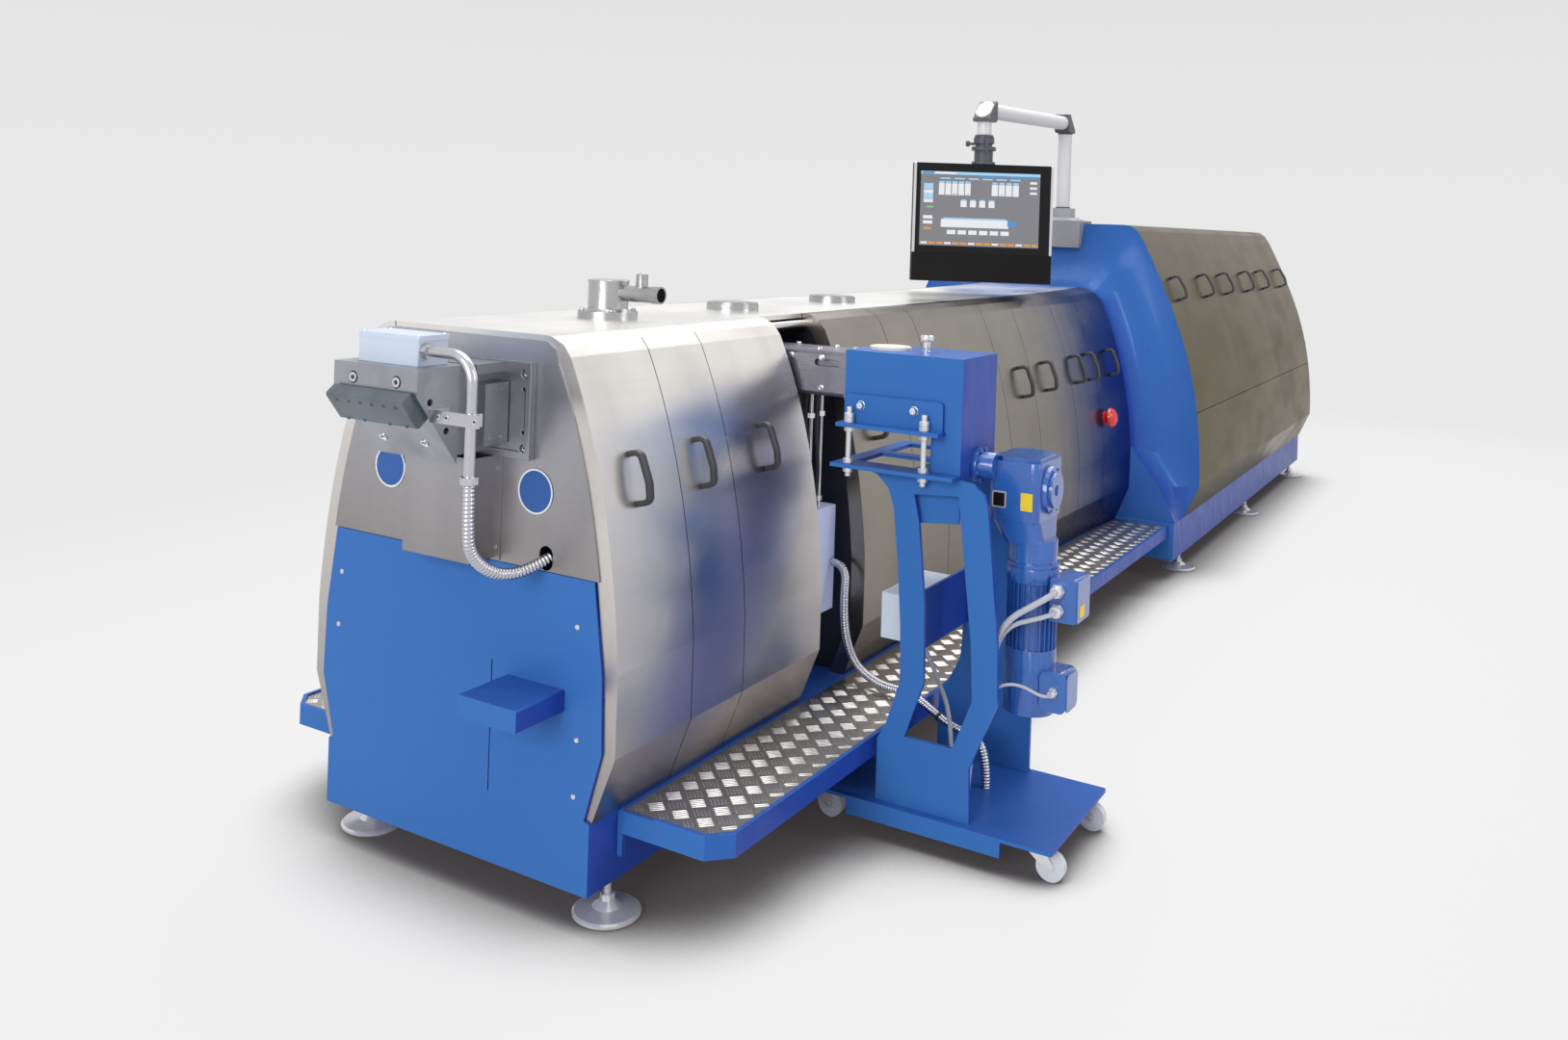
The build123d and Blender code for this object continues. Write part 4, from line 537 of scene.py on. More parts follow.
# a plate of that outline whose upper edge is pulled in
def addPrism(bm, seat, outline, low, high, edge):
    middleX, middleY = (sum(values) / len(outline) for values in zip(*outline))
    reach = max(math.hypot(x - middleX, y - middleY) for x, y in outline)
    rings = []
    for h, share in ((low, 1), (high - edge, 1), (high, 1 - edge / reach)):
        ring = [(middleX + (x - middleX) * share, middleY + (y - middleY) * share, h) for x, y in outline]
        rings.append([bm.verts.new(seat @ Vector(place)) for place in ring])
    joinRings(bm, rings)


def roundedBox(w, h, r, steps=4):
    points = []
    for right, up, start in ((1, 1, 0), (-1, 1, 90), (-1, -1, 180), (1, -1, 270)):
        for i in range(steps + 1):
            a = math.radians(start + 90 * i / steps)
            points.append((right * (w / 2 - r) + r * math.cos(a), up * (h / 2 - r) + r * math.sin(a)))
    return points


# Screw heads, as shares of a head's radius and height, and a hex head's washer and edges in mm; the wells get
# dark floors of painted shade at the end
head = {"hex": 0.52, "edge": 0.86, "crown": 0.93, "floor": 0.12, "well": 0.5, "wellFloor": 0.14,
        "hexFoot": 0.96, "hexTop": 0.86, "hexRise": 0.8, "hexSlope": 1.4, "washer": 2.0, "washerEdge": 1.6,
        "washerIn": 0.6}
socketWellShades = []


def addSocketHead(bm, seat, radius, high):
    socketWellShades.append((seat, radius * head["well"], high * head["wellFloor"]))
    steps = 24
    rings = []
    for r, h, isHex in ((radius, 0, 0), (radius, high * head["edge"], 0), (radius * head["crown"], high, 0),
                        (radius * head["hex"], high, 1), (radius * head["hex"], high * head["floor"], 1)):
        ring = []
        for i in range(steps):
            a = 2 * math.pi * i / steps
            size = r / math.cos((a + math.pi / 6) % (math.pi / 3) - math.pi / 6) if isHex else r
            ring.append(bm.verts.new(seat @ Vector((size * math.cos(a), size * math.sin(a), h))))
        rings.append(ring)
    joinRings(bm, rings, foot=False)


def addHexHead(bm, seat, radius, high, washer=0):
    low = head["washer"] if washer else 0
    if washer:
        addLathe(bm, seat, [(0, 0), (washer, 0), (washer, head["washerEdge"]), (washer - head["washerIn"], low),
                            (0, low)], 20)
    addLathe(bm, seat, [(0, low), (radius * head["hexFoot"], low), (radius, low + head["hexRise"]),
                        (radius, high - head["hexSlope"]), (radius * head["hexTop"], high), (0, high)], 6)


def addTube(bm, points, radii, steps):
    count = len(points)
    tangents = [(points[min(i + 1, count - 1)] - points[max(i - 1, 0)]).normalized() for i in range(count)]
    normal = tangents[0].orthogonal().normalized()
    rings = []
    for i in range(count):
        normal = (normal - tangents[i] * normal.dot(tangents[i])).normalized()
        side = tangents[i].cross(normal)
        r = radii[i] / 1000 if hasattr(radii, "__len__") else radii / 1000
        rings.append([bm.verts.new(points[i] + (normal * math.cos(a) + side * math.sin(a)) * r)
                      for a in (2 * math.pi * k / steps for k in range(steps))])
    joinRings(bm, rings)


# places evenly round a circle
def roundPlaces(count, radius):
    turns = [2 * math.pi * (k + 0.5) / count for k in range(count)]
    return [(radius * math.cos(a), radius * math.sin(a)) for a in turns]


def finishPiece(name, bm, finish, body="machine", sharp=35, replaces=None):
    bmesh.ops.recalc_face_normals(bm, faces=bm.faces)
    mesh = bpy.data.meshes.new(name)
    bm.to_mesh(mesh)
    bm.free()
    mesh.materials.append(materials[finish])
    mesh.shade_smooth()
    mesh.set_sharp_from_angle(angle=math.radians(sharp))
    piece = bpy.data.objects.new(name, mesh)
    bpy.context.scene.collection.objects.link(piece)
    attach(piece, body)
    if replaces:
        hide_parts(replaces)
    return piece


# the same part on every place: what makes it, which way it points, and its sizes
def addEach(bm, make, places, out, *sizes):
    for place in places:
        make(bm, seatAt(*place, out), *sizes)


# a piece of turned parts: where they stand, which way they point, their profile and steps
def addTurned(name, finish, parts, body="machine"):
    bm = bmesh.new()
    for places, out, profile, steps in parts:
        addEach(bm, addLathe, places, out, profile, steps)
    finishPiece(name, bm, finish, body)


# a piece of flat plates: where each stands and points, its width, height and corner, and its levels
def addPlates(name, finish, plates):
    bm = bmesh.new()
    for place, out, size, levels in plates:
        addPrism(bm, seatAt(*place, out), roundedBox(*size), *levels)
    finishPiece(name, bm, finish)


# points a step apart on the smooth curve that the route steers
def routePoints(route, step):
    curve = bpy.data.curves.new("route", "CURVE")
    curve.dimensions = "3D"
    curve.resolution_u = 24
    spline = curve.splines.new("NURBS")
    spline.points.add(len(route) - 1)
    for point, place in zip(spline.points, route):
        point.co = (*at(*place), 1)
    spline.order_u = 3
    spline.use_endpoint_u = True
    holder = bpy.data.objects.new("route", curve)
    line = bpy.data.meshes.new_from_object(holder)
    places = [v.co.copy() for v in line.vertices]
    bpy.data.objects.remove(holder)
    bpy.data.curves.remove(curve)
    bpy.data.meshes.remove(line)
    even = [places[0]]
    left = step / 1000
    for a, b in zip(places, places[1:]):
        run = (b - a).length
        done = 0.0
        while run - done > left:
            done += left
            even.append(a + (b - a) * (done / run))
            left = step / 1000
        left -= run - done
    even.append(places[-1])
    return even


upward, outletward, operatorward = (0, 0, 1), (-1, 0, 0), (0, -1, 0)

# Cover sections, chains of Y and Z as on the drawing
covers = {"front": [(243, 1328), (266, 1326), (300, 1311), (323, 1283), (421, 1078), (472, 826), (485, 598), (485, 414),
                    (425, 256)],
          "rear": [(400, 1650), (440, 1646), (474, 1622), (505, 1575), (722, 1146), (792, 900), (806, 500), (806, 420),
                   (739, 267)],
          "flareStart": 2950, "midEnd": 3840, "rearStart": 4010, "flareSide": 38, "flareTop": 12}


def movedChain(chain, side, top):
    out = []
    for i, (y, z) in enumerate(chain):
        a, b = chain[max(i - 1, 0)], chain[min(i + 1, len(chain) - 1)]
        dy, dz = b[0] - a[0], b[1] - a[1]
        size = math.hypot(dy, dz)
        out.append((y - dz / size * side, z + dy / size * top))
    return out


def flaredChain(x):
    share = max(0.0, (x - covers["flareStart"]) / (covers["midEnd"] - covers["flareStart"])) ** 2
    chain = movedChain(covers["front"], covers["flareSide"] * share, covers["flareTop"] * share)
    return chain[:-1] + [(chain[-1][0], covers["front"][-1][1])]


def bezierAt(chain, t):
    s = 1 - t
    shares = (s ** 3, 3 * s * s * t, 3 * s * t * t, t ** 3)
    return tuple(sum(share * point[k] for share, point in zip(shares, chain[3:7])) for k in (0, 1))


def flankAt(chain, z):
    low, high = 0.0, 1.0
    for _ in range(40):
        t = (low + high) / 2
        low, high = (t, high) if bezierAt(chain, t)[1] > z else (low, t)
    return bezierAt(chain, t)[0]


# Blue cove cover, one smooth skin that swells to the rear section
cove = {"rings": 26, "flankSteps": 28, "foot": 267.2, "cornerSteps": 3}


def addCove():
    bm = bmesh.new()
    first, last = flaredChain(covers["midEnd"]), covers["rear"]
    span = covers["rearStart"] - covers["midEnd"]
    rings = []
    for i in range(cove["rings"] + 1):
        u = math.sin(math.pi / 2 * i / cove["rings"])
        share = 1 - math.sqrt(max(0.0, 1 - u * u))
        lowShare = 0.0 if i == 0 else 1.0
        chain = []
        for k, (a, b) in enumerate(zip(first, last)):
            t = share if k < 7 else (share + lowShare) / 2 if k == 7 else lowShare
            chain.append((a[0] + (b[0] - a[0]) * t, max(cove["foot"], a[1] + (b[1] - a[1]) * t)))
        half = []
        for a, b in zip(chain[:3], chain[1:4]):
            half += [(a[0] + (b[0] - a[0]) * k / cove["cornerSteps"], a[1] + (b[1] - a[1]) * k / cove["cornerSteps"])
                     for k in range(cove["cornerSteps"])]
        half += [bezierAt(chain, k / cove["flankSteps"]) for k in range(cove["flankSteps"])]
        half += chain[6:]
        x = covers["midEnd"] + span * u
        whole = [(-y, z) for y, z in reversed(half)] + half
        rings.append([bm.verts.new(at(x, y, z)) for y, z in whole])
    joinRings(bm, rings)
    finishPiece("cove_skin", bm, "coveBlue", sharp=24, replaces="blue_cover")


addCove()
print("cove made")

# Bow handles: a rounded bow on every cover and door
bow = {"line": [(0.6, 57.5), (24, 57.5), (35, 49), (43.5, -16), (38.5, -50), (29, -57.5), (0.6, -57.5)],
       "deep": 14.0, "wide": 17.5, "edge": 3.2, "corner": 6.5, "beside": 8,
       "covers": [117, 377, 678, 1324, 1680, 1960, 2624, 2904, 3264, 3433, 3686],
       "coverHeights": (1062, 947), "doors": [4225, 4815, 5300, 5880, 6350, 6940], "doorHeights": (1396, 1291)}


def roundedLine(points, radius, steps=4):
    out = [Vector(points[0])]
    for i in range(1, len(points) - 1):
        p, a, b = Vector(points[i]), Vector(points[i - 1]), Vector(points[i + 1])
        room = min(radius, (a - p).length * 0.45, (b - p).length * 0.45)
        start, stop = p + (a - p).normalized() * room, p + (b - p).normalized() * room
        out += [start.lerp(p, k / steps).lerp(p.lerp(stop, k / steps), k / steps) for k in range(steps + 1)]
    return out + [Vector(points[-1])]


def addBow(bm, seat):
    line = roundedLine(bow["line"], bow["corner"])
    section = roundedBox(bow["deep"], bow["wide"], bow["edge"], 2)
    rings = []
    for i, p in enumerate(line):
        run = (line[min(i + 1, len(line) - 1)] - line[max(i - 1, 0)]).normalized()
        side = Vector((-run.y, run.x))
        rings.append([bm.verts.new(seat @ Vector((b, p.y + side.y * a, p.x + side.x * a))) for a, b in section])
    joinRings(bm, rings)


def addBows():
    bm = bmesh.new()
    for side in (-1, 1):
        seats = [(x, flaredChain(x + bow["beside"]), bow["coverHeights"]) for x in bow["covers"]]
        seats += [(x, covers["rear"], bow["doorHeights"]) for x in bow["doors"]]
        for x, chain, (high, low) in seats:
            yHigh, yLow = flankAt(chain, high), flankAt(chain, low)
            up = Vector((0, side * (yHigh - yLow), high - low)).normalized()
            out = Vector((0, side * up.z, -side * up.y))
            addBow(bm, seatAt(x, side * (yHigh + yLow) / 2, (high + low) / 2, out, up))
    finishPiece("handle_bows", bm, "handleBlack", sharp=40, replaces="bow_handles")


addBows()
print("handles made")

# Raised lugs of the checker plate, five to a patch, and every second patch turned the other way
lugs = {"pitch": 68.0, "length": 38.0, "wide": 4.6, "gap": 8.4, "high": 1.1, "count": 5, "top": 254.0, "point": 0.8,
        "x": (111, 3825), "y": (440, 698), "start": (14, 12), "margin": 10, "cut": 660}


def addLug(bm, x, y, angle):
    c, s = math.cos(angle), math.sin(angle)
    half, wide, top = lugs["length"] / 2, lugs["wide"] / 2, lugs["top"]
    near = half * lugs["point"]
    ring = [(-half, 0), (-near, wide), (near, wide), (half, 0), (near, -wide), (-near, -wide)]
    low = [bm.verts.new(at(x + a * c - b * s, y + a * s + b * c, top)) for a, b in ring]
    high = [bm.verts.new(at(x + a * c, y + a * s, top + lugs["high"])) for a in (-near, near)]
    for face in ((low[0], low[1], high[0]), (low[1], low[2], high[1], high[0]), (low[2], low[3], high[1]),
                 (low[3], low[4], high[1]), (low[4], low[5], high[0], high[1]), (low[5], low[0], high[0])):
        bm.faces.new(face)


def isOnTread(x, y):
    (x0, x1), (y0, y1), margin = lugs["x"], lugs["y"], lugs["margin"]
    return x0 + margin < x < x1 - margin and y0 + margin < y < y1 - margin and y < lugs["cut"] - margin + x - x0


def addLugs():
    bm = bmesh.new()
    step = lugs["pitch"] / 2
    columns, rows = (int((lugs[key][1] - lugs[key][0]) / step) + 1 for key in ("x", "y"))
    for side in (-1, 1):
        for i in range(columns):
            for j in range(i % 2, rows, 2):
                turn = math.radians(45) * (1 if i % 2 == 0 else -1) * -side
                cx = lugs["x"][0] + lugs["start"][0] + i * step
                cy = lugs["y"][0] + lugs["start"][1] + j * step
                for k in range(lugs["count"]):
                    off = (k - (lugs["count"] - 1) / 2) * lugs["gap"]
                    x, y = cx - math.sin(turn) * off, cy + side * math.cos(turn) * off
                    if isOnTread(x, y):
                        addLug(bm, x, side * y, turn)
    finishPiece("checker_lugs", bm, "checkerLugs", sharp=20)


addLugs()
print("checker plate made")

# Screws of the outlet end, and white rims round the blue signs
outlet = {"flat": [((-275, y, 1228), outletward, 11.2) for y in (-68, 68)]
          + [((-183.9, y, 1083.4), (-0.788, 0, -0.6157), 11.0) for y in (-66, 66)]
          + [((-236.2, y, 1158), outletward, 7.0) for y in (-156, -182, -264)]
          + [((-7.2, y, z), outletward, 4.5) for y in (-121, 121) for z in (826, 1010)],
          "flatHigh": 0.22,
          "deep": [((-11, y, z), outletward, 7.6, 6) for y in (-208, 208) for z in (1067, 1238)]
          + [((x, side * 162, z), (0, side, 0), 3.7, 3.2) for side in (-1, 1) for x in (-82, -48)
             for z in (1093, 1201)],
          "panel": [(-6.5, y, z) for y, z in ((395, 683), (401, 549), (-373, 686), (-381, 436), (-377, 309))],
          "panelScrew": [(0, -3), (3.9, -3), (3.9, 0), (6.4, 0), (6.4, 1.2), (5, 2.6), (2.2, 3.0), (2.0, 1.6),
                         (0, 1.6)],
          "signs": [(-5.6, y, 970) for y in (-236, 236)], "signRadius": 51.9, "signRim": 4.3,
          "plate": (-275, 0, 1200), "plateTurn": 52, "plateRise": 32.2, "plateScrew": (4.6, 1.1),
          "plateRows": ((4, (-92, -55, -18, 18, 55, 92)), (60, (-92, -40, 40, 92))),
          "lid": [(x, y, 1328.2) for x in (-233, -157) for y in (-86, 86)],
          "lidScrew": [(0, 0.1), (4, 0.1), (4, 1.0), (3, 1.8), (0, 1.9)]}


def addOutletDetails():
    bm = bmesh.new()
    for place, out, radius in outlet["flat"]:
        addSocketHead(bm, seatAt(*place, out), radius, radius * outlet["flatHigh"])
    for place, out, radius, high in outlet["deep"]:
        addSocketHead(bm, seatAt(*place, out), radius, high)
    finishPiece("outlet_screws", bm, "zincPlated")
    addTurned("panel_screws", "zincPlated", [(outlet["panel"], outletward, outlet["panelScrew"], 18)])
    outer, inner = outlet["signRadius"], outlet["signRadius"] - outlet["signRim"]
    rim = [(inner, 0.05), (outer, 0.05), (outer, 0.35), (inner, 0.35), (inner, 0.05)]
    addTurned("sign_rims", "signWhite", [(outlet["signs"], outletward, rim, 64)])
    # two rows on the sloping die plate
    bm = bmesh.new()
    turn = math.radians(outlet["plateTurn"])
    out = Vector((-math.sin(turn), 0, -math.cos(turn)))
    down = Vector((math.cos(turn), 0, -math.sin(turn)))
    for drop, spread in outlet["plateRows"]:
        place = Vector(outlet["plate"]) + out * outlet["plateRise"] + down * drop
        for y in spread:
            addSocketHead(bm, seatAt(place.x, y, place.z, out), *outlet["plateScrew"])
    finishPiece("die_plate_screws", bm, "dieSteel")
    addTurned("heater_box_screws", "zincPlated", [(outlet["lid"], upward, outlet["lidScrew"], 14)])


addOutletDetails()
print("outlet details made")

# Corrugated hoses and grey cables along the drawn routes; lengths in metres
hoses = {"conduit": {"route": [(-220, -238, 1019.7), (-220, -238, 926), (-196, -224, 856), (-128, -236, 804),
                               (-50, -256, 798), (8, -276, 824)], "radius": 14.0, "ridge": 3.4, "pitch": 9.0,
                     "long": 0.394, "node": "conduit_hose"},
         "feeder": {"route": [(1138, -392.3, 600), (1138, -446, 600), (1094, -462, 500), (1104, -466, 392),
                              (1150, -480, 300), (1112, -580, 275), (1098, -680, 281), (1062, -766, 262),
                              (1050, -833, 232), (1046, -938, 225), (1046, -938, 95.3)], "radius": 13.0,
                    "ridge": 2.8, "pitch": 8.0, "long": 0.924, "node": "feeder_hose"}}
cables = {"motor": {"route": [(929.7, -1152, 684), (888, -1152, 684), (853, -1024, 596), (850, -1013, 415),
                              (850, -957, 270), (850, -957, 95.3)], "radius": 8.0, "long": 0.681,
                    "node": "feeder_cables"},
          "sensor": {"route": [(929.7, -1152, 634), (892, -1152, 634), (872, -1024, 588), (872, -1013, 410),
                               (872, -957, 265), (872, -957, 95.3)], "radius": 6.0, "long": 0.642, "node": None},
          "brake": {"route": [(917.7, -1152, 428), (884, -1152, 428), (866, -1080, 462), (838, -1022, 440),
                              (836, -1000, 360), (834, -957, 260), (834, -957, 95.3)], "radius": 4.0,
                    "long": 0.517, "node": None},
          "box": {"route": [(1000, -760, 507.7), (1000, -760, 466), (1000, -799, 393), (1000, -857, 275),
                            (1000, -857, 95.3)], "radius": 6.0, "long": 0.4305, "node": None}}


def addCord(name, spec, finish, points, radii, steps):
    bm = bmesh.new()
    addTube(bm, points, radii, steps)
    piece = finishPiece(name, bm, finish, sharp=180, replaces=spec["node"])


def addHose(name, spec):
    points = routePoints(spec["route"], spec["pitch"] / 4)
    radii = [spec["radius"] - spec["ridge"] * (0.5 + 0.5 * math.cos(math.pi * i / 2)) for i in range(len(points))]
    addCord(name, spec, "tubeSteel", points, radii, 16)


addHose("conduit_hose_rings", hoses["conduit"])
addHose("feeder_hose_rings", hoses["feeder"])
for key, spec in cables.items():
    addCord(f"{key}_cable", spec, "cableGrey", routePoints(spec["route"], 6), spec["radius"], 16)
print("hoses and cables made")

# Operator screen: rails, bezel lip and plain tiles on the glass
panelYaw = math.radians(31)
panelOut = Vector((-math.cos(panelYaw), -math.sin(panelYaw), 0))
screen = {"axis": (2965, -90), "low": 1497, "high": 1884, "wide": 600, "deep": 28, "glass": 32.4, "shift": -14,
          "rail": 11, "railShort": 2, "railCorner": 3, "railFoot": 14, "railLevels": (0, 17.6, 1.2),
          "lip": (576, 5, 2, 3), "lipUp": 1.5, "lipOut": 1, "lipLevels": (0, 4.4, 0.8),
          "tileFoot": 0.15, "tileLift": 0.45, "tileStep": 0.01, "tileDust": 0.8, "tileGrain": 2200.0}
tileLooks = {"tileGrey": (0.20, 0.20, 0.22), "tileWhite": (0.78, 0.80, 0.82), "tileBlue": (0.05, 0.28, 0.62),
             "tilePale": (0.36, 0.62, 0.86), "tileOrange": (0.75, 0.30, 0.06), "tileGreen": (0.20, 0.55, 0.22)}
# tiles in mm from the glass's middle: look, places, width and height; the first lies lowest
menu, icons = (-166, -138, -110, -82, -54), (-70, -30, 10, 50)
tiles = [("tileGrey", [(0, -2)], 512, 318), ("tilePale", [(0, 151)], 512, 12), ("tileWhite", [(-150, 151)], 90, 8),
         ("tileBlue", [(-225, 151)], 50, 9), ("tileBlue", [(120, 140)], 250, 7), ("tileWhite", [(60, 140)], 80, 5),
         ("tileWhite", [(x, 82) for x in menu], 24, 50),
         ("tilePale", [(x, 112) for x in menu + (62, 92, 122, 152)], 22, 8),
         ("tileWhite", [(x, 82) for x in (62, 92, 122, 152)], 26, 48),
         ("tileOrange", [(-110, 62)], 12, 5), ("tileGreen", [(-54, 62), (92, 64)], 12, 5),
         ("tileWhite", [(x, 20) for x in icons], 26, 26), ("tileWhite", [(228, y) for y in (118, 96, 74)], 30, 10),
         ("tilePale", [(-150 + 60 * i, 128) for i in range(6)], 44, 6), ("tilePale", [(x, 36) for x in icons], 22, 6),
         ("tilePale", [(-222, y) for y in (92, 52)], 40, 26),
         ("tileWhite", [(-222, y) for y in (70, 30, -40, -62)], 40, 14), ("tileGreen", [(-214, 4)], 30, 8),
         ("tileOrange", [(-222, -88)], 34, 10), ("tileWhite", [(-20, -64)], 290, 34),
         ("tilePale", [(-20, -44)], 270, 7), ("tileBlue", [(138, -60)], 36, 22),
         ("tileWhite", [(-120 + 46 * i, -102) for i in range(6)], 36, 18)]
tiles += [("tileOrange" if i % 3 else "tileWhite", [(-236 + 34 * i, -150)], 28, 9) for i in range(15)]


def onPanel(offset, z):
    x, y = (screen["axis"][0] + panelOut.x * offset, screen["axis"][1] + panelOut.y * offset)
    return seatAt(x, y, z, panelOut)


for name, color in tileLooks.items():
    mat = bpy.data.materials.new(name)
    mat.use_nodes = True
    shader = mat.node_tree.nodes["Principled BSDF"].inputs
    values = {"Tone": color, "Dust Tone": [c * screen["tileDust"] for c in color], "Grain": screen["tileGrain"]}
    texture = addNode(mat.node_tree, "Group", values, node_tree=groups["mould"]).outputs
    mat.node_tree.links.new(texture["Color"], shader["Emission Color"])
    shader["Emission Strength"].default_value = 1.0
    shader["Base Color"].default_value = (0.01, 0.01, 0.01, 1)
    shader["Roughness"].default_value = 0.15
    materials[name] = mat


def addTiles(seat):
    bm = bmesh.new()
    laid = [(look, x, y, w, h) for look, places, w, h in tiles for x, y in places]
    for layer, (look, x, y, w, h) in enumerate(laid):
        lift = screen["tileLift"] + screen["tileStep"] * (layer % 5) if layer else screen["tileFoot"]
        face = bm.faces.new([bm.verts.new(seat @ Vector((x + screen["shift"] + a * w / 2, y + b * h / 2, lift)))
                             for a, b in ((-1, -1), (1, -1), (1, 1), (-1, 1))])
        face.material_index = list(tileLooks).index(look)
    mesh = bpy.data.meshes.new("screen_tiles")
    bm.to_mesh(mesh)
    bm.free()
    for name in tileLooks:
        mesh.materials.append(materials[name])
    piece = bpy.data.objects.new("screen_tiles", mesh)
    bpy.context.scene.collection.objects.link(piece)
    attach(piece, "panel")


def addScreen():
    middle = (screen["low"] + screen["high"]) / 2
    rail = roundedBox(screen["rail"], screen["high"] - screen["low"] - screen["railShort"], screen["railCorner"], 3)
    bm = bmesh.new()
    for side in (-1, 1):
        edge = side * (screen["wide"] - screen["rail"]) / 2
        outline = [(x + edge, y) for x, y in rail]
        addPrism(bm, onPanel(screen["deep"] - screen["railFoot"], middle), outline, *screen["railLevels"])
    finishPiece("screen_rails", bm, "zincPlated", body="panel")
    addTiles(onPanel(screen["glass"], middle))
    # lip between screen and operating box
    bm = bmesh.new()
    seat = onPanel(screen["deep"] + screen["lipOut"], screen["low"] + screen["lipUp"])
    addPrism(bm, seat, roundedBox(*screen["lip"]), *screen["lipLevels"])
    finishPiece("screen_lip", bm, "blackPaint", body="panel")


addScreen()

# Clamp lever at the screen's neck
lever = {"out": (-0.513, 0.858, 0), "reach": 38, "z": 1972,
         "profile": [(0, 0), (6, 0), (6, 22), (10, 24), (13, 28), (13, 36), (10, 40), (0, 41)]}


def addLever():
    x, y = (middle + share * lever["reach"] for middle, share in zip(screen["axis"], lever["out"]))
    addTurned("coupling_lever", "elbowGrey", [([(x, y, lever["z"])], lever["out"], lever["profile"], 20)], "panel")


addLever()
print("screen made")

# Arm: pale oval caps on the mitred elbows and rings on the tubes
arm = {"panelX": 2965, "columnX": 4030, "y": -90, "z": 2117, "rise": 33, "drop": 49, "half": 40, "reach": 54,
       "cap": (105, 67), "capSlim": 0.5, "capInset": 14, "capOver": 3, "capLevels": (0.2, 5.8, 1.5),
       "ring": [(33.6, 0), (36, 0), (36, 5), (34.6, 6.5), (33.6, 6.5), (33.6, 0)], "ringZ": (1724.6, 2094),
       "neckRing": [(30.6, 0), (40, 0), (40, 7), (37, 10), (30.6, 10), (30.6, 0)], "neckZ": 2001}


def addArm():
    long, wide = arm["cap"]
    outline = [(b, a) for a, b in roundedBox(long, wide, wide / 2 - arm["capSlim"], 8)]
    bm = bmesh.new()
    for x, z, turn in ((arm["panelX"], arm["z"], 1), (arm["columnX"], arm["z"] + arm["rise"], -1)):
        top = Vector((x + turn * (arm["reach"] - arm["capInset"]), 0, z + arm["half"] + arm["capOver"]))
        foot = Vector((x - turn * arm["half"], 0, z - arm["drop"] + arm["capInset"]))
        along = (top - foot).normalized()
        out = Vector((-turn * along.z, 0, turn * along.x))
        middle = (top + foot) / 2
        addPrism(bm, seatAt(middle.x, arm["y"], middle.z, out, along), outline, *arm["capLevels"])
    finishPiece("elbow_caps", bm, "armGrey", body="arm")
    rings = [(arm["columnX"], arm["y"], z) for z in arm["ringZ"]]
    neck = [(arm["panelX"], arm["y"], arm["neckZ"])]
    addTurned("tube_rings", "elbowGrey", [(rings, upward, arm["ring"], 40), (neck, upward, arm["neckRing"], 40)],
              "arm")


addArm()
print("arm made")

# Side feeder: threaded rods with nuts, bolts, disc and knob of its gearbox, plates, glands, lids and the hose's tie
feeder = {"rods": [(791, y, 936) for y in (-620, -838)], "threads": 60, "pitch": 3.0, "thread": (7.2, 7.6),
          "rodTip": [(7.1, 182), (5.8, 184), (0, 184)],
          "nuts": [(791, y, z) for y in (-620, -838) for z in (946.8, 970.2, 1055, 1078, 1091)],
          "nut": [(0, -0.1), (11.6, -0.1), (12.8, 0.9), (12.8, 12), (11.6, 13.1), (0, 13.1)],
          "faceBolts": [(806.6, y, 1124) for y in (-645, -800)], "faceBolt": (10.2, 9.4, 12.6),
          "shaftBolts": [(930 + a, -944.3, 985 + b) for a, b in roundPlaces(8, 41)], "shaftBolt": (6.4, 7, 8),
          "hubScrews": [(1022 + a, -1112, 926 + b) for a, b in roundPlaces(8, 56)], "hubScrew": (4.6, 2.6),
          "hub": [(1022, -1120, 926)], "hubCap": [(0, 0.2), (14, 0.2), (14, 3), (10, 4.6), (0, 4.6)],
          "flangeBolts": [(1000 + a, -1068 + b, 742.2) for a, b in roundPlaces(8, 62)], "flangeBolt": (4.4, 5.6),
          "disc": [(0, 6), (57.6, 0.1), (57.6, 5.8), (55.4, 7.6), (0, 7.6)], "discAt": [(930, -668, 1268)],
          "knob": [(13.5, 0), (13.5, 3), (9.6, 4), (9.6, 28), (17.6, 29.7), (18, 32), (18, 44), (16.8, 46.3),
                   (0, 46.3)], "knobAt": [(930, -775, 1268)],
          "rivets": [(929.6, y, z) for y in (-1011, -977) for z in (882.6, 921.4)],
          "rivet": [(0, 0), (1.5, 0), (1.2, 0.8), (0, 1)],
          "lidScrews": [(x, y, 628) for x in (863, 1107) for y in (-789.5, -713.5)],
          "lidScrew": [(0, 0.05), (4, 0.05), (4, 1.2), (2.6, 2), (0, 2)],
          "glands": [((958, -1152, 684), 18.5), ((958, -1152, 634), 18.5), ((946, -1152, 428), 12.5)],
          "plateFrame": [((930.9, -994, 902), outletward, (38, 43, 2), (0.1, 1.3, 0.3))],
          "plate": [((929.5, -994, 902), outletward, (31, 35, 1.5), (0, 0.6, 0.2))],
          "labels": [((930.9, -1069, 903), outletward, (32, 46, 2), (0.1, 0.7, 0.2)),
                     ((996, -1203, 632), operatorward, (38, 30, 1), (0.1, 0.7, 0.2))],
          "boxLids": [((1010, -1200, 659), operatorward, (100, 108, 8), (0.05, 3, 1.2)),
                      ((990, -1184, 425), operatorward, (84, 96, 16), (0.05, 3, 1.2))],
          "tieAt": (1055, -790, 250), "tieRadius": 14.2, "tieStep": 1.5}


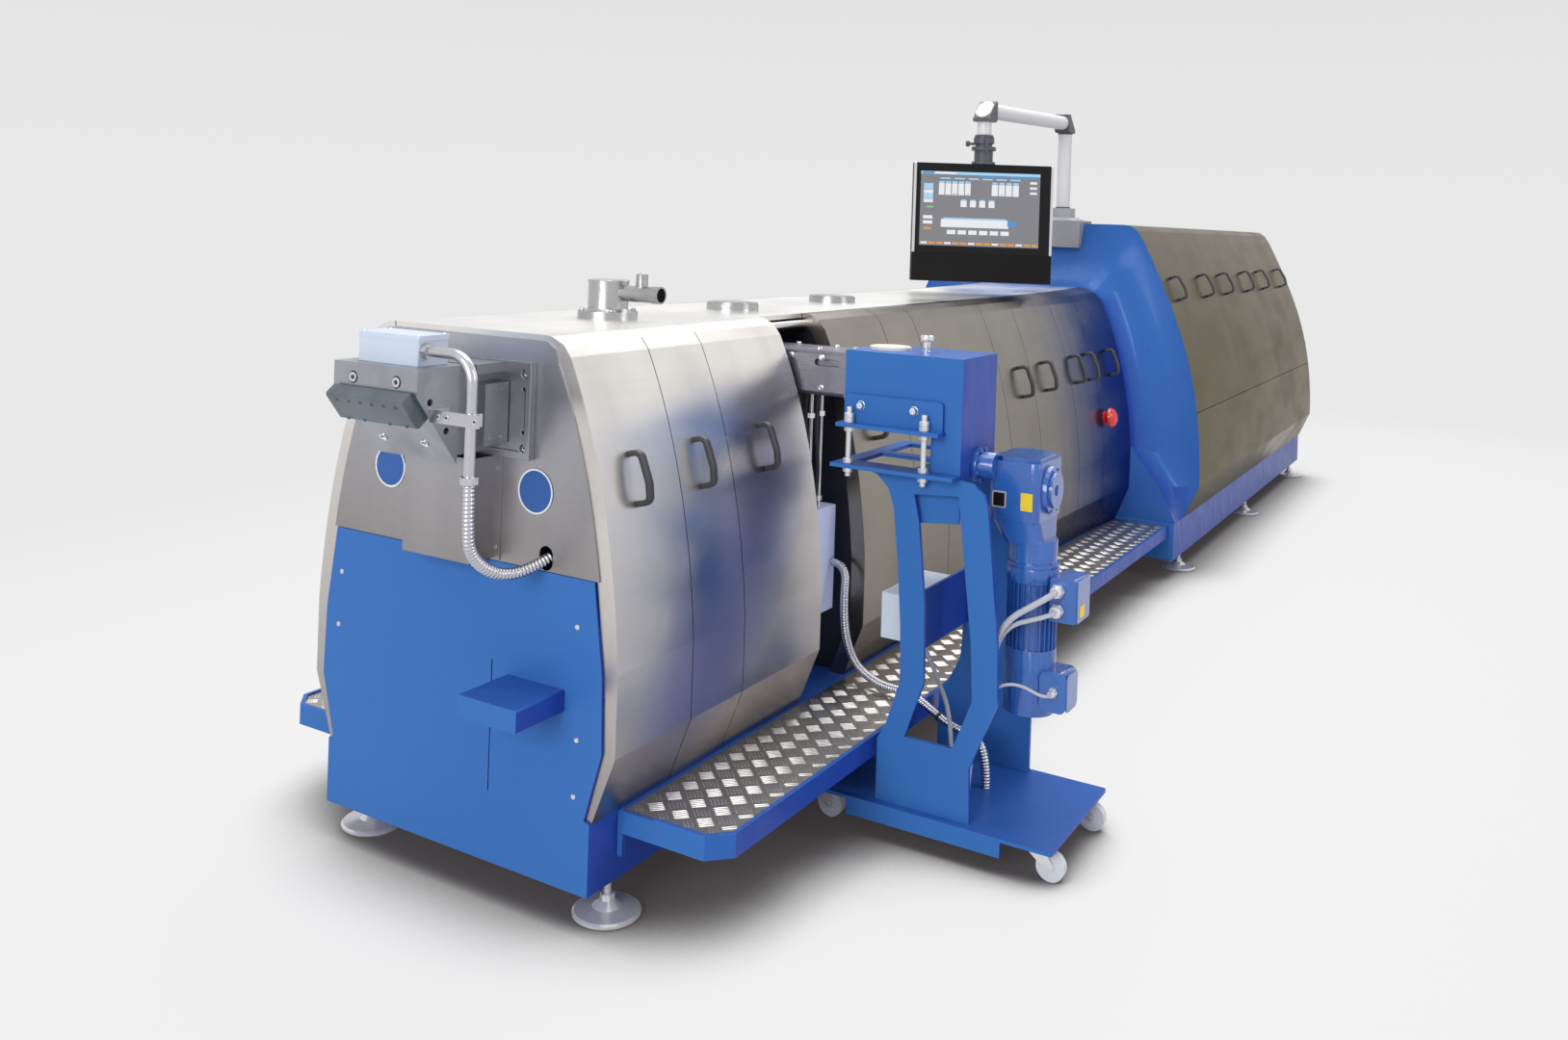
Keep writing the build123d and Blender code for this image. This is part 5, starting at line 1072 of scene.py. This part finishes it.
def addFeeder():
    bm = bmesh.new()
    rod = [(0, 0)]
    for k in range(feeder["threads"]):
        rod += [(radius, (k + up) * feeder["pitch"]) for radius, up in zip(feeder["thread"], (0, 0.5))]
    addEach(bm, addLathe, feeder["rods"], upward, rod + feeder["rodTip"], 12)
    addEach(bm, addLathe, feeder["nuts"], upward, feeder["nut"], 6)
    addEach(bm, addHexHead, feeder["faceBolts"], outletward, *feeder["faceBolt"])
    finishPiece("bracket_bolts", bm, "brightNickel")
    addTurned("gearbox_disc", "discCream", [(feeder["discAt"], upward, feeder["disc"], 48)])
    addTurned("gearbox_knob", "zincPlated", [(feeder["knobAt"], upward, feeder["knob"], 24)])
    bm = bmesh.new()
    addEach(bm, addHexHead, feeder["shaftBolts"], operatorward, *feeder["shaftBolt"])
    addEach(bm, addSocketHead, feeder["hubScrews"], operatorward, *feeder["hubScrew"])
    addEach(bm, addLathe, feeder["hub"], operatorward, feeder["hubCap"], 24)
    addEach(bm, addHexHead, feeder["flangeBolts"], upward, *feeder["flangeBolt"])
    finishPiece("gear_unit_bolts", bm, "glossBlue")
    addPlates("plate_frame", "brightNickel", feeder["plateFrame"])
    addPlates("blank_plate", "blackPaint", feeder["plate"])
    addTurned("plate_rivets", "zincPlated", [(feeder["rivets"], outletward, feeder["rivet"], 10)])
    addPlates("blank_label", "labelYellow", feeder["labels"])
    glands = []
    for place, r in feeder["glands"]:
        nut = [(0, -0.1), (r - 1, -0.1), (r, 1), (r, 13), (r - 1, 14.2), (0, 14.2)]
        sleeve = [(0, 14), (r - 2, 14), (r - 2, 20), (r - 3.4, 24), (r - 5, 28.3), (0, 28.3)]
        glands += [([place], outletward, nut, 6), ([place], outletward, sleeve, 24)]
    addTurned("cable_glands", "brightNickel", glands)
    addPlates("motor_box_lids", "glossBlue", feeder["boxLids"])
    addTurned("feeder_box_screws", "greyEnamel", [(feeder["lidScrews"], upward, feeder["lidScrew"], 12)])
    # black tie round the hose in the stand's window
    bm = bmesh.new()
    path = routePoints(hoses["feeder"]["route"], feeder["tieStep"])
    near = min(range(len(path)), key=lambda i: (path[i] - at(*feeder["tieAt"])).length)
    addTube(bm, path[near - 2:near + 3], feeder["tieRadius"], 20)
    finishPiece("hose_tie", bm, "handleBlack")


addFeeder()
print("feeder made")

# Gap between the covers: barrel bolts, thin cables and their fittings
gap = {"bolts": [(936.9, y, z) for y in (-150, -250, -350, -450, -550) for z in (1140, 1226)], "bolt": (7.5, 8, 9),
       "screws": [(x, y, z) for x in (958, 1062) for y, z in ((-170, 1246), (-300, 1246), (-430, 1246), (-545, 1254))],
       "screw": (8, 7), "cables": 7, "cableX": (945, 19), "cableY": (-372, 22), "cableZ": (767, 860, 1000, 1117),
       "sway": 12, "cableRadii": (6.0, 4.2), "fittings": [(960 + 30 * k, -366, 766.2) for k in range(5)],
       "fitting": [(0, 0), (9, 0), (9, 14), (6, 17), (6, 30), (0, 30)]}


def addGap():
    bm = bmesh.new()
    addEach(bm, addHexHead, gap["bolts"], outletward, *gap["bolt"])
    addEach(bm, addSocketHead, gap["screws"], upward, *gap["screw"])
    finishPiece("barrel_bolts", bm, "zincPlated")
    bm = bmesh.new()
    random.seed(4)
    for k in range(gap["cables"]):
        x, y = gap["cableX"][0] + gap["cableX"][1] * k, gap["cableY"][0] + gap["cableY"][1] * (k % 3)
        sway = [random.uniform(-gap["sway"], gap["sway"]) for _ in range(4)]
        sides = ((0, 0), (sway[0], sway[1]), (sway[2], sway[3]), (0, 0))
        route = [(x + a, y + b, z) for (a, b), z in zip(sides, gap["cableZ"])]
        addTube(bm, routePoints(route, 12), gap["cableRadii"][k % 2], 8)
    finishPiece("gap_cables", bm, "handleBlack")
    addTurned("gap_fittings", "zincPlated", [(gap["fittings"], upward, gap["fitting"], 6)])


addGap()
print("gap made")

# Roof: the vent's cap, collar and bolts, and thin lids on the outlet's clamp and on both flanges
roof = {"cap": [(0, 0.2), (56.5, -5), (56.5, 0.4), (55, 2.4), (0, 2.4)], "capAt": [(527, -5, 1430)],
        "collar": [(55.2, 0), (60, 0), (57, 4), (55.2, 6), (55.2, 0)], "collarAt": [(527, -5, 1348)],
        "bolts": [(527 + a, -5 + b, 1348) for a, b in roundPlaces(4, 70)], "bolt": (6.5, 7),
        "clamp": [(0, 0), (11.6, 0), (11.6, 1), (0, 1)], "clampAt": [(527, -118, 1444)],
        "lid": [(0, 0.2), (62, 0.2), (62, 1.1), (60.5, 1.6), (0, 1.6)],
        "lidAt": [(x, -5, 1349.9) for x in (1150, 1800)]}


def addRoofDetails():
    bm = bmesh.new()
    addEach(bm, addLathe, roof["capAt"], upward, roof["cap"], 48)
    addEach(bm, addLathe, roof["collarAt"], upward, roof["collar"], 48)
    addEach(bm, addHexHead, roof["bolts"], upward, *roof["bolt"])
    finishPiece("vent_rims", bm, "machinedSteel")
    addTurned("flange_lids", "machinedSteel", [(roof["clampAt"], upward, roof["clamp"], 24),
                                               (roof["lidAt"], upward, roof["lid"], 48)])


addRoofDetails()

# Emergency stop: foot and neck under the red head
stop = {"x": 3540, "z": 768, "half": 30, "sink": 0.8,
        "foot": [(0, -0.2), (30.8, -0.2), (30.8, 8.6), (28.6, 10.8), (18.6, 12.8), (18.6, 21.8), (0, 21.8)]}


def addStop():
    x, z, half = stop["x"], stop["z"], stop["half"]
    lean = (flankAt(flaredChain(x), z - half) - flankAt(flaredChain(x), z + half)) / (2 * half)
    skew = (flankAt(flaredChain(x + half), z) - flankAt(flaredChain(x - half), z)) / (2 * half)
    place = (x, -flankAt(flaredChain(x), z) - stop["sink"], z)
    addTurned("stop_foot", "stopRed", [([place], (-skew, -1, lean), stop["foot"], 40)])


addStop()


# painted shade: dark floors in the socket heads' wells
def addSocketWellShades():
    bm = bmesh.new()
    for seat, size, low in socketWellShades:
        addLathe(bm, seat, [(0, low), (size, low), (size, low + 0.05), (0, low + 0.05)], 6)
    finishPiece("socket_well_shades", bm, "darkInside")


addSocketWellShades()
print("small parts made")
